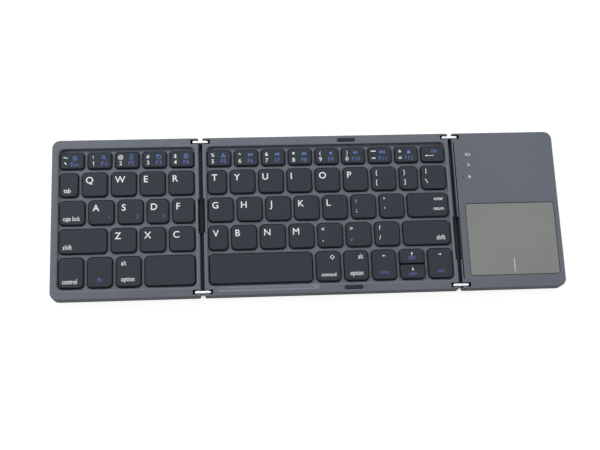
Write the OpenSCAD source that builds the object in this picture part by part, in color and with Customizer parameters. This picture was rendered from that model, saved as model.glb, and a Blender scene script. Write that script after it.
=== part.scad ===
// Folding keyboard in three panels, with a touchpad on the right wing.
// Each wing hangs on a pair of double-pivot links and folds flat over the middle panel.
// X runs left to right, Y front to back, Z up. The origin is on the table under the middle.
// Lengths are in millimetres.

/* [Overall] */
// Space between the two free edges when both wings are folded in
folded_edge_gap = 0.6; // [0.4:0.1:1.2]
// Height of the rim above the table
rim_z = 8; // [7.9:0.05:8.6]
// Plan radius of the free corners
free_corner_r = 4.5; // [3:0.25:6]
// Plan radius of the corners beside a hinge gap
gap_corner_r = 2; // [1:0.25:3]

/* [Casing] */
// Height of the rubber feet below the casing
foot_h = 0.5; // [0.4:0.05:0.7]
// Thickness of the bottom cover's floor
floor_t = 1.1; // [0.9:0.05:1.2]
// Height of the line where deck and bottom cover meet
split_z = 3; // [2.9:0.05:3.1]
// Thickness of the ribs between the keys, and of the sunk deck
web_t = 1; // [0.8:0.05:1.1]
// Depth of the sunk deck below the rim
recess_depth = 1.8; // [1.6:0.05:1.9]
// Thickness of the front and back walls
long_wall = 5.2; // [5:0.05:5.3]
// Thickness of the wall at a wing's free edge
free_wall = 3.4; // [3.2:0.05:3.6]
// Thickness of the wall at the right wing's free edge
right_free_wall = 1.5; // [1.3:0.05:1.6]
// Thickness of the wall beside a hinge gap
gap_wall = 1.9; // [1.7:0.05:1.95]
// Plan radius of the casing's inner corners
inner_r = 1; // [0.5:0.25:1.5]
// Thickness of the right wing's top panel
panel_t = 1.2; // [1:0.05:1.25]
// Distance from the sunk deck's side edges to the key openings
recess_side = 0.8; // [0.6:0.05:0.9]
// Distance from the sunk deck's front edge to the key openings
recess_front = 1.2; // [0.8:0.1:1.4]
// Distance from the sunk deck's back edge to the key openings
recess_back = 1.6; // [1:0.1:1.7]
// How far the thumb scoop's middle lies to the right of the space bar's
scoop_offset = 3.5; // [0:0.5:4]
// Width of the thumb scoop at the sunk deck's edge
scoop_w = 57; // [40:1:60]
// Reach of the thumb scoop into the front rim
scoop_reach = 3; // [2:0.1:3.4]
// Depth of the thumb scoop at the sunk deck's edge
scoop_depth = 1.5; // [1:0.1:1.6]

/* [Keys] */
// Opening for a letter key, side to side
letter_w = 14.95; // [14.6:0.05:15.1]
// Opening for a narrow letter key
narrow_w = 11.4; // [11:0.1:12]
// Opening for the tab key, which sets the width of the left wing
tab_w = 11.1; // [10.6:0.1:12.5]
// Opening for the last key of the upper letter row, which sets the width of the middle panel
end_key_w = 15.1; // [14.5:0.1:16]
// Opening for each of the two letter keys beside the left hinge in the home row
home_end_w = 13.05; // [12.8:0.05:13.5]
// Opening for a side key of the bottom row
bottom_key_w = 14.5; // [14:0.1:15]
// Opening shared by the up and down arrow keys
arrow_pair_w = 14.9; // [14.5:0.1:15.2]
// Opening for the right arrow key
right_arrow_w = 14.6; // [14:0.1:15]
// Opening of the number row, front to back
number_d = 10.5; // [10:0.1:11]
// Opening of each letter row, front to back
letter_d = 15; // [14.5:0.1:15.5]
// Opening of the bottom row, front to back
bottom_d = 18; // [17:0.1:18.5]
// Rib between two keys of a row
rib_x = 1.05; // [1:0.05:1.2]
// Rib between two rows
rib_y = 1.15; // [1.05:0.05:1.3]
// Distance from the front edge of the casing to the bottom row
front_margin = 6; // [5.8:0.1:6.5]
// Distance from the number row to the back edge of the casing
back_margin = 6.9; // [6.9:0.1:7.5]
// Distance from a wing's free edge to its first key
free_margin = 4.1; // [4:0.1:4.5]
// Distance from the middle of a hinge gap to the nearest key
gap_margin = 3.4; // [3.35:0.05:3.6]
// Plan radius of a key opening
opening_r = 2.8; // [2:0.1:3.2]
// Plan radius of a number key's opening
number_r = 2; // [1.5:0.1:2.6]
// Plan radius of the two half-height arrow keys
half_key_r = 1.6; // [1:0.1:2]
// Running gap between a key and its opening
key_clear = 0.35; // [0.3:0.01:0.4]
// Gap between the up and down arrow keys
arrow_gap = 0.4; // [0.35:0.05:0.6]
// How far the key tops lie below the rim
key_drop = 0.3; // [0.25:0.05:0.4]
// How far a key travels
key_travel = 1.2; // [1:0.05:1.25]
// Thickness of a key's top
key_roof = 1; // [0.8:0.05:1.2]
// Thickness of a key's side walls
key_wall = 0.8; // [0.6:0.05:1]
// Reach of a key's foot flange under the deck, past the opening
flange_grip = 0.3; // [0.25:0.01:0.35]
// Thickness of the foot flange
flange_t = 0.5; // [0.4:0.05:0.6]
// Gap between the flange and the deck above it
flange_gap = 0.1; // [0.05:0.01:0.15]
// Radius of a key's stem
stem_r = 1.5; // [1.2:0.1:1.8]
// Length of the raised finger bar on two home keys
bar_l = 4; // [3:0.5:5]
// Width of the finger bar
bar_w = 0.6; // [0.5:0.05:0.8]
// Height of the finger bar
bar_h = 0.15; // [0.1:0.01:0.2]
// Distance from the front of the opening to the finger bar
bar_inset = 2.6; // [2:0.1:4]

/* [Switching layers] */
// Thickness of the steel backing plates
plate_t = 0.4; // [0.3:0.05:0.45]
// Thickness of the printed membranes
membrane_t = 0.25; // [0.2:0.01:0.3]
// Gap between the layers and the casing's walls
layer_clear = 0.4; // [0.3:0.05:0.5]
// Radius of a rubber dome's base
dome_r = 3.2; // [2.6:0.1:3.4]
// Thickness of a rubber dome's base
dome_base_t = 0.3; // [0.2:0.05:0.4]
// Height of a dome when its key is fully pressed
pressed_dome_h = 0.85; // [0.7:0.05:0.9]
// Step from the rim of a dome's base in to its cone
dome_step = 0.4; // [0.2:0.05:0.6]

/* [Hinges] */
// Gap between two panels
hinge_gap = 2.2; // [2.1:0.05:2.4]
// Distance between a link's two pivots
pivot_pitch = 5; // [4.9:0.05:5.2]
// Space between the folded rims
folded_rim_gap = 0.4; // [0.35:0.05:0.5]
// Radius of a link's round ends
link_r = 2; // [1.9:0.02:2.04]
// Thickness of a link
link_t = 1.65; // [1.5:0.05:1.75]
// Distance from the front or back edge to the middle of a link
link_inset = 2.35; // [2.3:0.01:2.4]
// Width of the slot that a link lies in
slot_w = 2.4; // [2.35:0.05:2.45]
// Length of the slot, from the middle of the hinge gap
slot_reach = 5.5; // [5.2:0.1:6]
// Gap below a link
slot_clear = 0.3; // [0.25:0.05:0.4]
// Radius of a hinge pin
pin_r = 0.8; // [0.7:0.01:0.85]
// Radial running clearance of a pin in the casing
pin_clear = 0.05; // [0.03:0.01:0.08]
// Distance from the front or back edge to the pin's outer end
pin_inset = 0.5; // [0.45:0.01:0.6]
// Length of a hinge pin
pin_l = 4.1; // [3.8:0.05:4.2]
// Spare depth at each end of a pin's hole
pin_end_clear = 0.05; // [0.03:0.01:0.1]
// Radius of the rounded upper edges along a hinge gap
gap_edge_r = 1; // [0.9:0.05:1.1]
// Width of the spine bar that joins two links
spine_w = 1.8; // [1.5:0.05:1.85]
// Height of the spine bar
spine_h = 2.5; // [2:0.05:2.6]
// Distance from the pivots down to the spine bar
spine_drop = 1.7; // [1.65:0.05:1.9]
// Radius of the round cover over the flat cable
cover_r = 1.7; // [1.6:0.02:1.74]
// Gap between the cable cover and the casing beside it
cover_clear = 0.25; // [0.2:0.01:0.3]
// Gap between the end of the cable cover and the end of its notch
cover_end_clear = 0.5; // [0.4:0.05:0.8]
// Length of the left cable cover
left_cover_l = 19; // [16:0.5:24]
// Middle of the left cable cover, front to back
left_cover_y = 0; // [-2:0.25:2]
// Length of the right cable cover
right_cover_l = 24; // [18:0.5:26]
// Middle of the right cable cover, front to back
right_cover_y = -16.5; // [-18:0.25:-15]
// Width of the flat cables
cable_w = 10; // [6:0.5:12]
// Thickness of the flat cables
cable_t = 0.15; // [0.1:0.01:0.15]
// Reach of a flat cable to each side of the hinge gap
cable_reach = 6.2; // [5:0.1:6.4]
// Height of the passage for a flat cable
passage_h = 0.8; // [0.6:0.05:0.9]
// Extra width of that passage
passage_clear = 1; // [0.6:0.1:1.2]

/* [Touchpad] */
// Distance from the right wing's free edge to the touchpad
pad_inset_free = 3; // [2.9:0.05:3.6]
// Touchpad, front to back
pad_d = 41.2; // [38:0.2:42]
// Plan radius of its corners
pad_r = 1.5; // [1:0.1:2.5]
// Thickness of the touch surface
pad_t = 1.1; // [0.9:0.05:1.2]
// Gap between the touchpad and its window
pad_clear = 0.3; // [0.25:0.05:0.4]
// Distance from the middle of the hinge gap to the touchpad
pad_inset_x = 6.1; // [5.8:0.1:6.4]
// Distance from the front edge of the casing to the touchpad
pad_inset_y = 7.4; // [7:0.1:8]
// How far the sensor board reaches past the touchpad, under the panel
sensor_reach = 1.2; // [0.8:0.1:1.4]
// Thickness of the sensor board
sensor_t = 0.9; // [0.7:0.05:1]
// Gap between the sensor board and the panel above it
sensor_gap = 0.1; // [0.05:0.01:0.15]
// Distance from the touchpad's back edge to the line it tips about
tip_inset = 1.8; // [1.5:0.1:2.2]
// Gap below the click switch, which the touchpad tips through
click_gap = 0.35; // [0.32:0.01:0.45]
// Radius of the click switch
click_r = 2; // [1.5:0.1:2.5]
// Height of the click switch
click_h = 0.6; // [0.5:0.05:0.8]
// Distance from the touchpad's front edge to the click switch
click_inset = 5; // [4.5:0.25:7]
// Width of the two supports that the touchpad tips on
support_w = 6; // [4:0.5:8]
// Depth of the two supports
support_d = 2.4; // [2:0.1:2.6]
// Distance between the two supports
support_pitch = 20; // [14:1:21]

/* [Electronics] */
// Main circuit board, side to side
board_w = 14.5; // [14.2:0.1:14.8]
// Main circuit board, front to back
board_d = 71; // [68:0.5:71.5]
// Distance from the main board to the back wall
board_back_gap = 0.3; // [0.2:0.05:0.5]
// Thickness of the main circuit board
board_t = 1; // [0.8:0.05:1.1]
// Distance from the gap wall to the main board
board_gap = 0.3; // [0.2:0.05:0.5]
// Radius of the posts that carry the main board
post_r = 1.5; // [1:0.1:2]
// Distance from the board's edges to its posts
post_inset = 2; // [1.6:0.1:3]
// Large chip on the main board, side to side
chip_w = 10; // [8:0.5:11]
// Large chip, front to back
chip_d = 8; // [6:0.5:9]
// Height of the large chip
chip_h = 1.6; // [1:0.1:1.8]
// Side of the small chip
small_chip_w = 5; // [4:0.5:6]
// Height of the small chip
small_chip_h = 0.9; // [0.7:0.1:1.2]
// Distance between the two chips' middles
chip_pitch = 12; // [10:0.5:16]
// Signal lamp on the main board, side to side
lamp_w = 1.6; // [1.2:0.1:2]
// Signal lamp, front to back
lamp_d = 0.8; // [0.6:0.1:1]
// Height of a signal lamp
lamp_h = 0.6; // [0.4:0.1:0.8]
// Battery, front to back
battery_d = 32; // [26:1:33]
// Thickness of the battery
battery_t = 3.4; // [2.6:0.1:3.6]
// Plan radius of the battery's corners
battery_r = 1; // [0.5:0.25:2]
// Gap between the battery and the walls beside it
battery_gap = 1.5; // [1:0.25:2]
// Gap between the battery and the main board
battery_board_gap = 2.8; // [2:0.2:4]
// Charging socket, side to side
socket_w = 8.9; // [7.5:0.1:9.2]
// Charging socket, bottom to top
socket_h = 3.1; // [2.6:0.1:3.2]
// Charging socket, front to back
socket_d = 7.4; // [7:0.1:9]
// Wall of the charging socket
socket_wall = 0.3; // [0.25:0.05:0.4]
// Thickness of the charging socket's back
socket_back = 1; // [0.6:0.1:1.5]
// Distance from the socket's sides to its tongue
tongue_inset = 1.1; // [0.9:0.05:1.3]
// Thickness of the socket's tongue
tongue_t = 0.7; // [0.6:0.05:0.8]
// Distance from the socket's mouth to the end of its tongue
tongue_sink = 1; // [0.6:0.1:1.4]
// Gap around the charging socket in the casing
socket_clear = 0.2; // [0.15:0.05:0.25]
// Distance from the middle of the hinge gap to the middle of the charging socket
socket_inset_x = 13; // [12.6:0.1:13.2]
// How far the socket's mouth lies inside the back face
socket_sink = 0.3; // [0.2:0.05:0.5]
// Radius of a light guide
guide_r = 0.45; // [0.35:0.05:0.6]
// Gap around a light guide in the panel
guide_clear = 0.1; // [0.05:0.01:0.15]
// How far a light guide's end lies below the panel's face
guide_sink = 0.1; // [0.05:0.01:0.15]
// Distance from the middle of the hinge gap to the light guides
guide_inset_x = 6.1; // [5.6:0.1:6.6]
// Distance from the front edge of the casing to each light guide
guide_ys = [64.75, 71.9, 78];

/* [Feet, pads, magnets and screws] */
// Radius of a rubber foot
foot_r = 3.5; // [2.5:0.25:4]
// Depth of the pockets that the feet sit in
foot_pocket = 0.3; // [0.2:0.05:0.4]
// Gap around a foot in its pocket
foot_clear = 0.15; // [0.1:0.05:0.2]
// Distance from the front or back edge to the middle of a foot
foot_inset_y = 10; // [9:0.5:14]
// Distance from a panel's side edge to the middle of a foot
foot_inset_x = 10; // [9:0.5:12]
// Length of the rim pads that the folded wings rest on
rest_pad_l = 10.2; // [8:0.2:12]
// Width of the rim pads
rest_pad_w = 2; // [1.6:0.1:2.2]
// Distance from the front or back edge to the middle of a rim pad
rest_pad_inset = 2.8; // [2.6:0.05:3]
// Depth of the pockets that the rim pads sit in
rest_pad_pocket = 0.6; // [0.4:0.05:0.8]
// Gap between a rim pad and the folded wing above it
rest_pad_gap = 0.05; // [0.05:0.01:0.1]
// Gap around a rim pad in its pocket
rest_pad_clear = 0.1; // [0.05:0.01:0.15]
// Length of a magnet
magnet_l = 6; // [4:0.5:8]
// Width of a magnet
magnet_w = 1.8; // [1.4:0.1:1.9]
// Height of a magnet
magnet_h = 1.5; // [1:0.1:2]
// Gap around a magnet in its pocket
magnet_clear = 0.1; // [0.05:0.01:0.15]
// Distance from a wing's free edge to the middle of its magnets
magnet_inset_x = 8; // [7:0.5:10]
// Thickness of the rim above a magnet
magnet_cover = 1.2; // [1:0.1:1.6]
// Radius of a screw's shank
screw_r = 0.7; // [0.6:0.01:0.75]
// How far the thread bites into the plastic
thread_bite = 0.05; // [0.03:0.01:0.08]
// Radial gap of a screw in the bottom cover
screw_clear = 0.1; // [0.05:0.01:0.15]
// Radius of a screw head
head_r = 1.4; // [1.2:0.05:1.5]
// Height of a screw head
head_h = 0.65; // [0.55:0.05:0.7]
// Length of the cross recess in a screw head
cross_l = 1.6; // [1.2:0.1:2]
// Width and depth of the cross recess
cross_w = 0.35; // [0.25:0.05:0.45]
// How far a screw head lies inside the cover
head_sink = 0.15; // [0.1:0.01:0.2]
// Height that a screw's shank reaches into the deck
screw_bite = 2; // [1.6:0.1:2.1]
// Distance from a panel's side edge to its screws
screw_inset_x = 20; // [19:0.5:22]
// Distance from the front or back edge to the screws
screw_inset_y = 2.6; // [2.4:0.05:2.8]

/* [Hidden] */
$fn = 48;
cut = 1;
overlap = 0.2;

left_field = tab_w + 4 * (letter_w + rib_x);
centre_field = 2 * narrow_w + 6 * letter_w + end_key_w + 8 * rib_x;
left_wing_w = free_margin + left_field + gap_margin;
centre_w = centre_field + 2 * gap_margin;
right_wing_w = centre_w - left_wing_w - folded_edge_gap;
total_w = left_wing_w + centre_w + right_wing_w;
body_d = front_margin + bottom_d + 3 * letter_d + number_d + 4 * rib_y + back_margin;
left_x = -total_w / 2;
right_x = total_w / 2;
left_gap_x = left_x + left_wing_w;
right_gap_x = right_x - right_wing_w;
front_y = -body_d / 2;
back_y = body_d / 2;

// A panel is its left edge, right edge, left corner radius, right corner radius,
// left wall and right wall.
LEFT = [left_x, left_gap_x - hinge_gap / 2, free_corner_r, gap_corner_r, free_wall, gap_wall];
CENTRE = [left_gap_x + hinge_gap / 2, right_gap_x - hinge_gap / 2,
          gap_corner_r, gap_corner_r, gap_wall, gap_wall];
RIGHT = [right_gap_x + hinge_gap / 2, right_x, gap_corner_r, free_corner_r, gap_wall,
         right_free_wall];

floor_z = foot_h + floor_t;
deck_top_z = rim_z - recess_depth;
deck_under_z = deck_top_z - web_t;
key_top_z = rim_z - key_drop;
flange_z = deck_under_z - flange_gap - flange_t;
plate_top_z = floor_z + plate_t;
membrane_top_z = plate_top_z + membrane_t;
stem_z = membrane_top_z + pressed_dome_h + key_travel;
pivot_x = pivot_pitch / 2;
pivot_z = rim_z - (pivot_pitch - folded_rim_gap) / 2;
link_y = back_y - link_inset;
spine_y = link_y - link_t / 2;
cover_z = pivot_z - pivot_x;
notch_depth = cover_r + cover_clear - hinge_gap / 2;
passage_z = membrane_top_z + cable_t / 2 - passage_h / 2;
panel_under_z = rim_z - panel_t;
pad_x = right_gap_x + pad_inset_x;
pad_y = front_y + pad_inset_y;
pad_w = right_wing_w - pad_inset_x - pad_inset_free;
sensor_z = panel_under_z - sensor_gap - sensor_t;
tip_y = pad_y + pad_d - tip_inset;
click_x = pad_x + pad_w / 2;
click_y = pad_y + click_inset;
board_x = RIGHT[0] + gap_wall + board_gap;
board_y = back_y - long_wall - board_back_gap - board_d;
board_z = membrane_top_z + cable_t;
board_top_z = board_z + board_t;
socket_x = right_gap_x + socket_inset_x;
guide_x = right_gap_x + guide_inset_x;
screw_y = back_y - screw_inset_y;
head_z = foot_h + head_sink + head_h;
rest_x = (left_gap_x + right_gap_x + left_wing_w - right_wing_w) / 2;

// A key is its node's name and the width of its opening. Width 0 takes what is left of the row,
// and a 1 after the width gives the key a finger bar. Rows run from front to back.
LEFT_ROWS = [
  [["control_key", bottom_key_w], ["fn_key", bottom_key_w],
   ["left_option_key", bottom_key_w], ["left_space_key", 0]],
  [["left_shift_key", 0], for (i = [1:3]) ["letter_keys_zxc", letter_w]],
  [["caps_lock_key", 0], for (i = [1:2]) ["letter_keys_asdf", letter_w],
   ["letter_keys_asdf", home_end_w], ["letter_keys_asdf", home_end_w, 1]],
  [["tab_key", tab_w], for (i = [1:4]) ["letter_keys_qwer", letter_w]],
  [for (i = [1:5]) ["number_keys_left", 0]]
];
CENTRE_ROWS = [
  [["space_bar", 0], ["command_key", bottom_key_w], ["right_option_key", bottom_key_w],
   ["left_arrow_key", bottom_key_w], ["arrow_pair", arrow_pair_w],
   ["right_arrow_key", right_arrow_w]],
  [["letter_keys_lower", narrow_w], for (i = [1:6]) ["letter_keys_lower", letter_w],
   ["right_shift_key", 0]],
  [for (i = [1:7]) ["letter_keys_home", letter_w, i == 3 ? 1 : 0], ["enter_key", 0]],
  [["letter_keys_upper", narrow_w], for (i = [1:6]) ["letter_keys_upper", letter_w],
   ["letter_keys_upper", narrow_w], ["letter_keys_upper", end_key_w]],
  [for (i = [1:9]) ["number_keys_centre", 0]]
];
row_d = [bottom_d, letter_d, letter_d, letter_d, number_d];

function total(v, n) = n > 0 ? v[n - 1] + total(v, n - 1) : 0;
function row_y(r) = front_y + front_margin + total(row_d, r) + r * rib_y;
function spare_w(row, field) =
  let (widths = [for (k = row) k[1]], spare = [for (k = row) if (k[1] == 0) 1])
  (field - rib_x * (len(row) - 1) - total(widths, len(row))) / len(spare);
function widths_of(row, field) = [for (k = row) k[1] > 0 ? k[1] : spare_w(row, field)];

// Places are kept to a hundredth, so that each arc meets its straight sides exactly.
function hundredth(v) = round(v * 100) / 100;

// Openings of a panel: name, low x, low y, high x, high y, radius, finger bar.
function openings_of(rows, x, field) = [
  for (r = [0:len(rows) - 1])
    let (w = widths_of(rows[r], field))
    for (i = [0:len(w) - 1])
      let (x0 = x + total(w, i) + i * rib_x, y0 = hundredth(row_y(r)))
      [rows[r][i][0], hundredth(x0), y0, hundredth(x0 + w[i]), y0 + row_d[r],
       r == len(rows) - 1 ? number_r : opening_r, rows[r][i][2] == 1]
];

left_openings = openings_of(LEFT_ROWS, left_x + free_margin, left_field);
centre_openings = openings_of(CENTRE_ROWS, left_gap_x + gap_margin, centre_field);

module plan_rect(x0, y0, x1, y1, rl, rr) {
  translate([x0 + rl, y0]) square([x1 - rr - x0 - rl, y1 - y0]);
  translate([x0, y0 + rl]) square([2 * rl, y1 - y0 - 2 * rl]);
  translate([x1 - 2 * rr, y0 + rr]) square([2 * rr, y1 - y0 - 2 * rr]);
  for (y = [y0 + rl, y1 - rl]) translate([x0 + rl, y]) circle(rl);
  for (y = [y0 + rr, y1 - rr]) translate([x1 - rr, y]) circle(rr);
}

module slab(z0, z1) {
  translate([0, 0, z0]) linear_extrude(z1 - z0) children();
}

module block(x0, y0, z0, x1, y1, z1) {
  translate([x0, y0, z0]) cube([x1 - x0, y1 - y0, z1 - z0]);
}

module panel_plan(p) {
  plan_rect(p[0], front_y, p[1], back_y, p[2], p[3]);
}

module cavity_plan(p, clear = 0) {
  plan_rect(p[0] + p[4] + clear, front_y + long_wall + clear,
            p[1] - p[5] - clear, back_y - long_wall - clear, inner_r, inner_r);
}

module screw_places(p) {
  for (x = [p[0] + screw_inset_x, p[1] - screw_inset_x], y = [-screw_y, screw_y])
    translate([x, y, 0]) children();
}

module foot_places(p) {
  for (x = [p[0] + foot_inset_x, p[1] - foot_inset_x],
       y = [front_y + foot_inset_y, back_y - foot_inset_y])
    translate([x, y, 0]) children();
}

module magnet_places(xs) {
  for (x = xs, y = [-1, 1]) translate([x, y * (back_y - rest_pad_inset), 0]) children();
}

module box_at(l, w, z0, z1) {
  block(-l / 2, -w / 2, z0, l / 2, w / 2, z1);
}

// Puts its children beside the gap at x = g: the casing lies at positive x when side is 1.
module beside_gap(g, side) {
  translate([g, 0, 0]) mirror([side > 0 ? 0 : 1, 0, 0]) children();
}

module both_ends() {
  children();
  mirror([0, 1, 0]) children();
}

module pivot_rod(r, y0, y1) {
  translate([pivot_x, y1, pivot_z]) rotate([90, 0, 0]) cylinder(r = r, h = y1 - y0);
}

module cover_notch(y, l, z0, z1) {
  reach = l / 2 + cover_end_clear;
  block(0, y - reach, z0, hinge_gap / 2 + notch_depth, y + reach, z1);
}

// Everything cut from a deck beside a hinge gap.
module deck_gap_cuts(y, l) {
  both_ends() {
    block(0, link_y - slot_w / 2, pivot_z - link_r - slot_clear,
          slot_reach, link_y + slot_w / 2, rim_z + cut);
    pivot_rod(pin_r + pin_clear, back_y - pin_inset - pin_l - pin_end_clear,
              back_y - pin_inset + pin_end_clear);
  }
  cover_notch(y, l, split_z - cut, rim_z + cut);
  difference() {
    block(0, front_y - cut, rim_z - gap_edge_r, hinge_gap / 2 + gap_edge_r, back_y + cut,
          rim_z + cut);
    translate([hinge_gap / 2 + gap_edge_r, back_y + 2 * cut, rim_z - gap_edge_r])
      rotate([90, 0, 0]) cylinder(r = gap_edge_r, h = body_d + 4 * cut);
  }
}

// Everything cut from a bottom cover beside a hinge gap.
module cover_gap_cuts(y, l) {
  w = cable_w + passage_clear;
  cover_notch(y, l, foot_h - cut, split_z + cut);
  block(0, y - w / 2, passage_z, hinge_gap / 2 + gap_wall + cut, y + w / 2, split_z + cut);
}

module deck_blank(p, ceiling_z, magnets) {
  difference() {
    slab(split_z, rim_z) panel_plan(p);
    slab(split_z - cut, ceiling_z) cavity_plan(p);
    screw_places(p) translate([0, 0, split_z - cut])
      cylinder(r = screw_r - thread_bite, h = screw_bite + 2 * cut);
    magnet_places(magnets)
      box_at(magnet_l + 2 * magnet_clear, magnet_w + 2 * magnet_clear, split_z - cut,
             rim_z - magnet_cover);
  }
}

module key_cuts(openings) {
  first = openings[0];
  last = openings[len(openings) - 1];
  r = opening_r + recess_side;
  slab(deck_top_z, rim_z + cut)
    plan_rect(first[1] - recess_side, first[2] - recess_front,
              last[3] + recess_side, last[4] + recess_back, r, r);
  for (k = openings) slab(deck_under_z - cut, deck_top_z + cut)
    plan_rect(k[1], k[2], k[3], k[4], k[5], k[5]);
}

// A slope in the front rim that gives the thumbs room at the space bar.
module thumb_scoop() {
  bar = centre_openings[0];
  x0 = (bar[1] + bar[3] - scoop_w) / 2 + scoop_offset;
  y0 = bar[2] - recess_front - scoop_reach;
  y1 = bar[2] - recess_front + cut;
  slope = scoop_depth / scoop_reach;
  intersection() {
    slab(deck_top_z, rim_z + cut)
      polygon([[x0 + scoop_reach, y0], [x0 + scoop_w - scoop_reach, y0],
               [x0 + scoop_w + cut, y1], [x0 - cut, y1]]);
    translate([x0 - 2 * cut, 0, 0]) rotate([90, 0, 90]) linear_extrude(scoop_w + 4 * cut)
      polygon([[y0 - cut, rim_z + cut * slope], [y1, rim_z - (scoop_reach + cut) * slope],
               [y1, rim_z + 2 * cut], [y0 - cut, rim_z + 2 * cut]]);
  }
}

module bottom_blank(p) {
  difference() {
    slab(foot_h, split_z) panel_plan(p);
    slab(floor_z, split_z + cut) cavity_plan(p);
    screw_places(p) {
      translate([0, 0, foot_h - cut]) cylinder(r = head_r + screw_clear, h = head_z - foot_h + cut);
      translate([0, 0, foot_h]) cylinder(r = screw_r + screw_clear, h = split_z);
    }
    foot_places(p) translate([0, 0, foot_h - cut])
      cylinder(r = foot_r + foot_clear, h = foot_pocket + cut);
  }
}

module screws(p) {
  screw_places(p) difference() {
    union() {
      translate([0, 0, head_z - head_h]) cylinder(r = head_r, h = head_h);
      translate([0, 0, head_z - overlap])
        cylinder(r = screw_r, h = split_z + screw_bite - head_z + overlap);
    }
    for (a = [0, 90]) rotate([0, 0, a])
      box_at(cross_l, cross_w, head_z - head_h - cut, head_z - head_h + cross_w);
  }
}

module feet(p) {
  foot_places(p) cylinder(r = foot_r, h = foot_h + foot_pocket);
}

module magnets(xs) {
  z = rim_z - magnet_cover;
  magnet_places(xs) box_at(magnet_l, magnet_w, z - magnet_h, z);
}

left_magnet_x = [left_x + magnet_inset_x];
right_magnet_x = [right_x - magnet_inset_x];
centre_magnet_x = [for (s = [-1, 1]) rest_x + s * (folded_edge_gap / 2 + magnet_inset_x)];

module left_deck() {
  color("#686c76") difference() {
    deck_blank(LEFT, deck_under_z, left_magnet_x);
    key_cuts(left_openings);
    beside_gap(left_gap_x, -1) deck_gap_cuts(left_cover_y, left_cover_l);
  }
}

module centre_deck() {
  color("#686c76") difference() {
    deck_blank(CENTRE, deck_under_z, centre_magnet_x);
    key_cuts(centre_openings);
    beside_gap(left_gap_x, 1) deck_gap_cuts(left_cover_y, left_cover_l);
    beside_gap(right_gap_x, -1) deck_gap_cuts(right_cover_y, right_cover_l);
    thumb_scoop();
    rest_pad_places()
      slab(rim_z - rest_pad_pocket, rim_z + cut) pill(rest_pad_clear);
  }
}

module right_deck() {
  color("#686c76") difference() {
    deck_blank(RIGHT, panel_under_z, right_magnet_x);
    beside_gap(right_gap_x, 1) deck_gap_cuts(right_cover_y, right_cover_l);
    slab(panel_under_z - cut, rim_z + cut) pad_plan(pad_clear);
    for (y = guide_ys) translate([guide_x, front_y + y, panel_under_z - cut])
      cylinder(r = guide_r + guide_clear, h = panel_t + 2 * cut);
    block(socket_x - socket_w / 2 - socket_clear, back_y - long_wall - cut, split_z - cut,
          socket_x + socket_w / 2 + socket_clear, back_y + cut,
          board_top_z + socket_h + socket_clear);
  }
}

module left_bottom_cover() {
  color("#4d5058") difference() {
    bottom_blank(LEFT);
    beside_gap(left_gap_x, -1) cover_gap_cuts(left_cover_y, left_cover_l);
  }
}

module centre_bottom_cover() {
  color("#4d5058") difference() {
    bottom_blank(CENTRE);
    beside_gap(left_gap_x, 1) cover_gap_cuts(left_cover_y, left_cover_l);
    beside_gap(right_gap_x, -1) cover_gap_cuts(right_cover_y, right_cover_l);
  }
}

module right_bottom_cover() {
  color("#4d5058") {
    difference() {
      bottom_blank(RIGHT);
      beside_gap(right_gap_x, 1) cover_gap_cuts(right_cover_y, right_cover_l);
    }
    for (x = [board_x + post_inset, board_x + board_w - post_inset],
         y = [board_y + post_inset, board_y + board_d - post_inset])
      translate([x, y, floor_z - overlap]) cylinder(r = post_r, h = board_z - floor_z + overlap);
    for (s = [-1, 1]) translate([click_x + s * support_pitch / 2, tip_y + support_d / 2, 0])
      box_at(support_w, support_d, floor_z - overlap, sensor_z);
    translate([click_x, click_y, floor_z - overlap])
      cylinder(r = click_r, h = sensor_z - click_h - click_gap - floor_z + overlap);
  }
}

module key_plate(p) {
  color("silver") slab(floor_z, plate_top_z) cavity_plan(p, layer_clear);
}

module membrane(p) {
  color("#b9c7bd") slab(plate_top_z, membrane_top_z) cavity_plan(p, layer_clear);
}

module dome(x, y) {
  translate([x, y, membrane_top_z]) {
    cylinder(r = dome_r, h = dome_base_t);
    cylinder(r1 = dome_r - dome_step, r2 = stem_r, h = stem_z - membrane_top_z);
  }
}

module domes(openings) {
  color("#d8d8d2") for (k = openings) {
    x = (k[1] + k[3]) / 2;
    if (k[0] == "arrow_pair") {
      dome(x, half_key_y(k, -1));
      dome(x, half_key_y(k, 1));
    } else dome(x, (k[2] + k[4]) / 2);
  }
}

module left_key_plate() { key_plate(LEFT); }
module left_membrane() { membrane(LEFT); }
module left_domes() { domes(left_openings); }
module left_screws() { color("gray") screws(LEFT); }
module left_feet() { color("#222222") feet(LEFT); }
module left_magnets() { color("silver") magnets(left_magnet_x); }
module centre_key_plate() { key_plate(CENTRE); }
module centre_membrane() { membrane(CENTRE); }
module centre_domes() { domes(centre_openings); }
module centre_screws() { color("gray") screws(CENTRE); }
module centre_feet() { color("#222222") feet(CENTRE); }
module centre_magnets() { color("silver") magnets(centre_magnet_x); }
module right_screws() { color("gray") screws(RIGHT); }
module right_feet() { color("#222222") feet(RIGHT); }
module right_magnets() { color("silver") magnets(right_magnet_x); }

module rest_pad_places() {
  for (y = [-1, 1]) translate([rest_x, y * (back_y - rest_pad_inset), 0]) children();
}

module pill(clear) {
  r = rest_pad_w / 2 + clear;
  run = rest_pad_l - rest_pad_w;
  translate([-run / 2, -r]) square([run, 2 * r]);
  for (s = [-1, 1]) translate([s * run / 2, 0]) circle(r);
}

module rest_pads() {
  color("#2b2e34") rest_pad_places()
    slab(rim_z - rest_pad_pocket, rim_z + folded_rim_gap - rest_pad_gap) pill(0);
}

module pad_plan(grow) {
  plan_rect(pad_x - grow, pad_y - grow, pad_x + pad_w + grow, pad_y + pad_d + grow,
            pad_r + grow, pad_r + grow);
}

module touchpad() {
  color("#868784") slab(sensor_z + sensor_t, sensor_z + sensor_t + pad_t) pad_plan(0);
}

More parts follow.
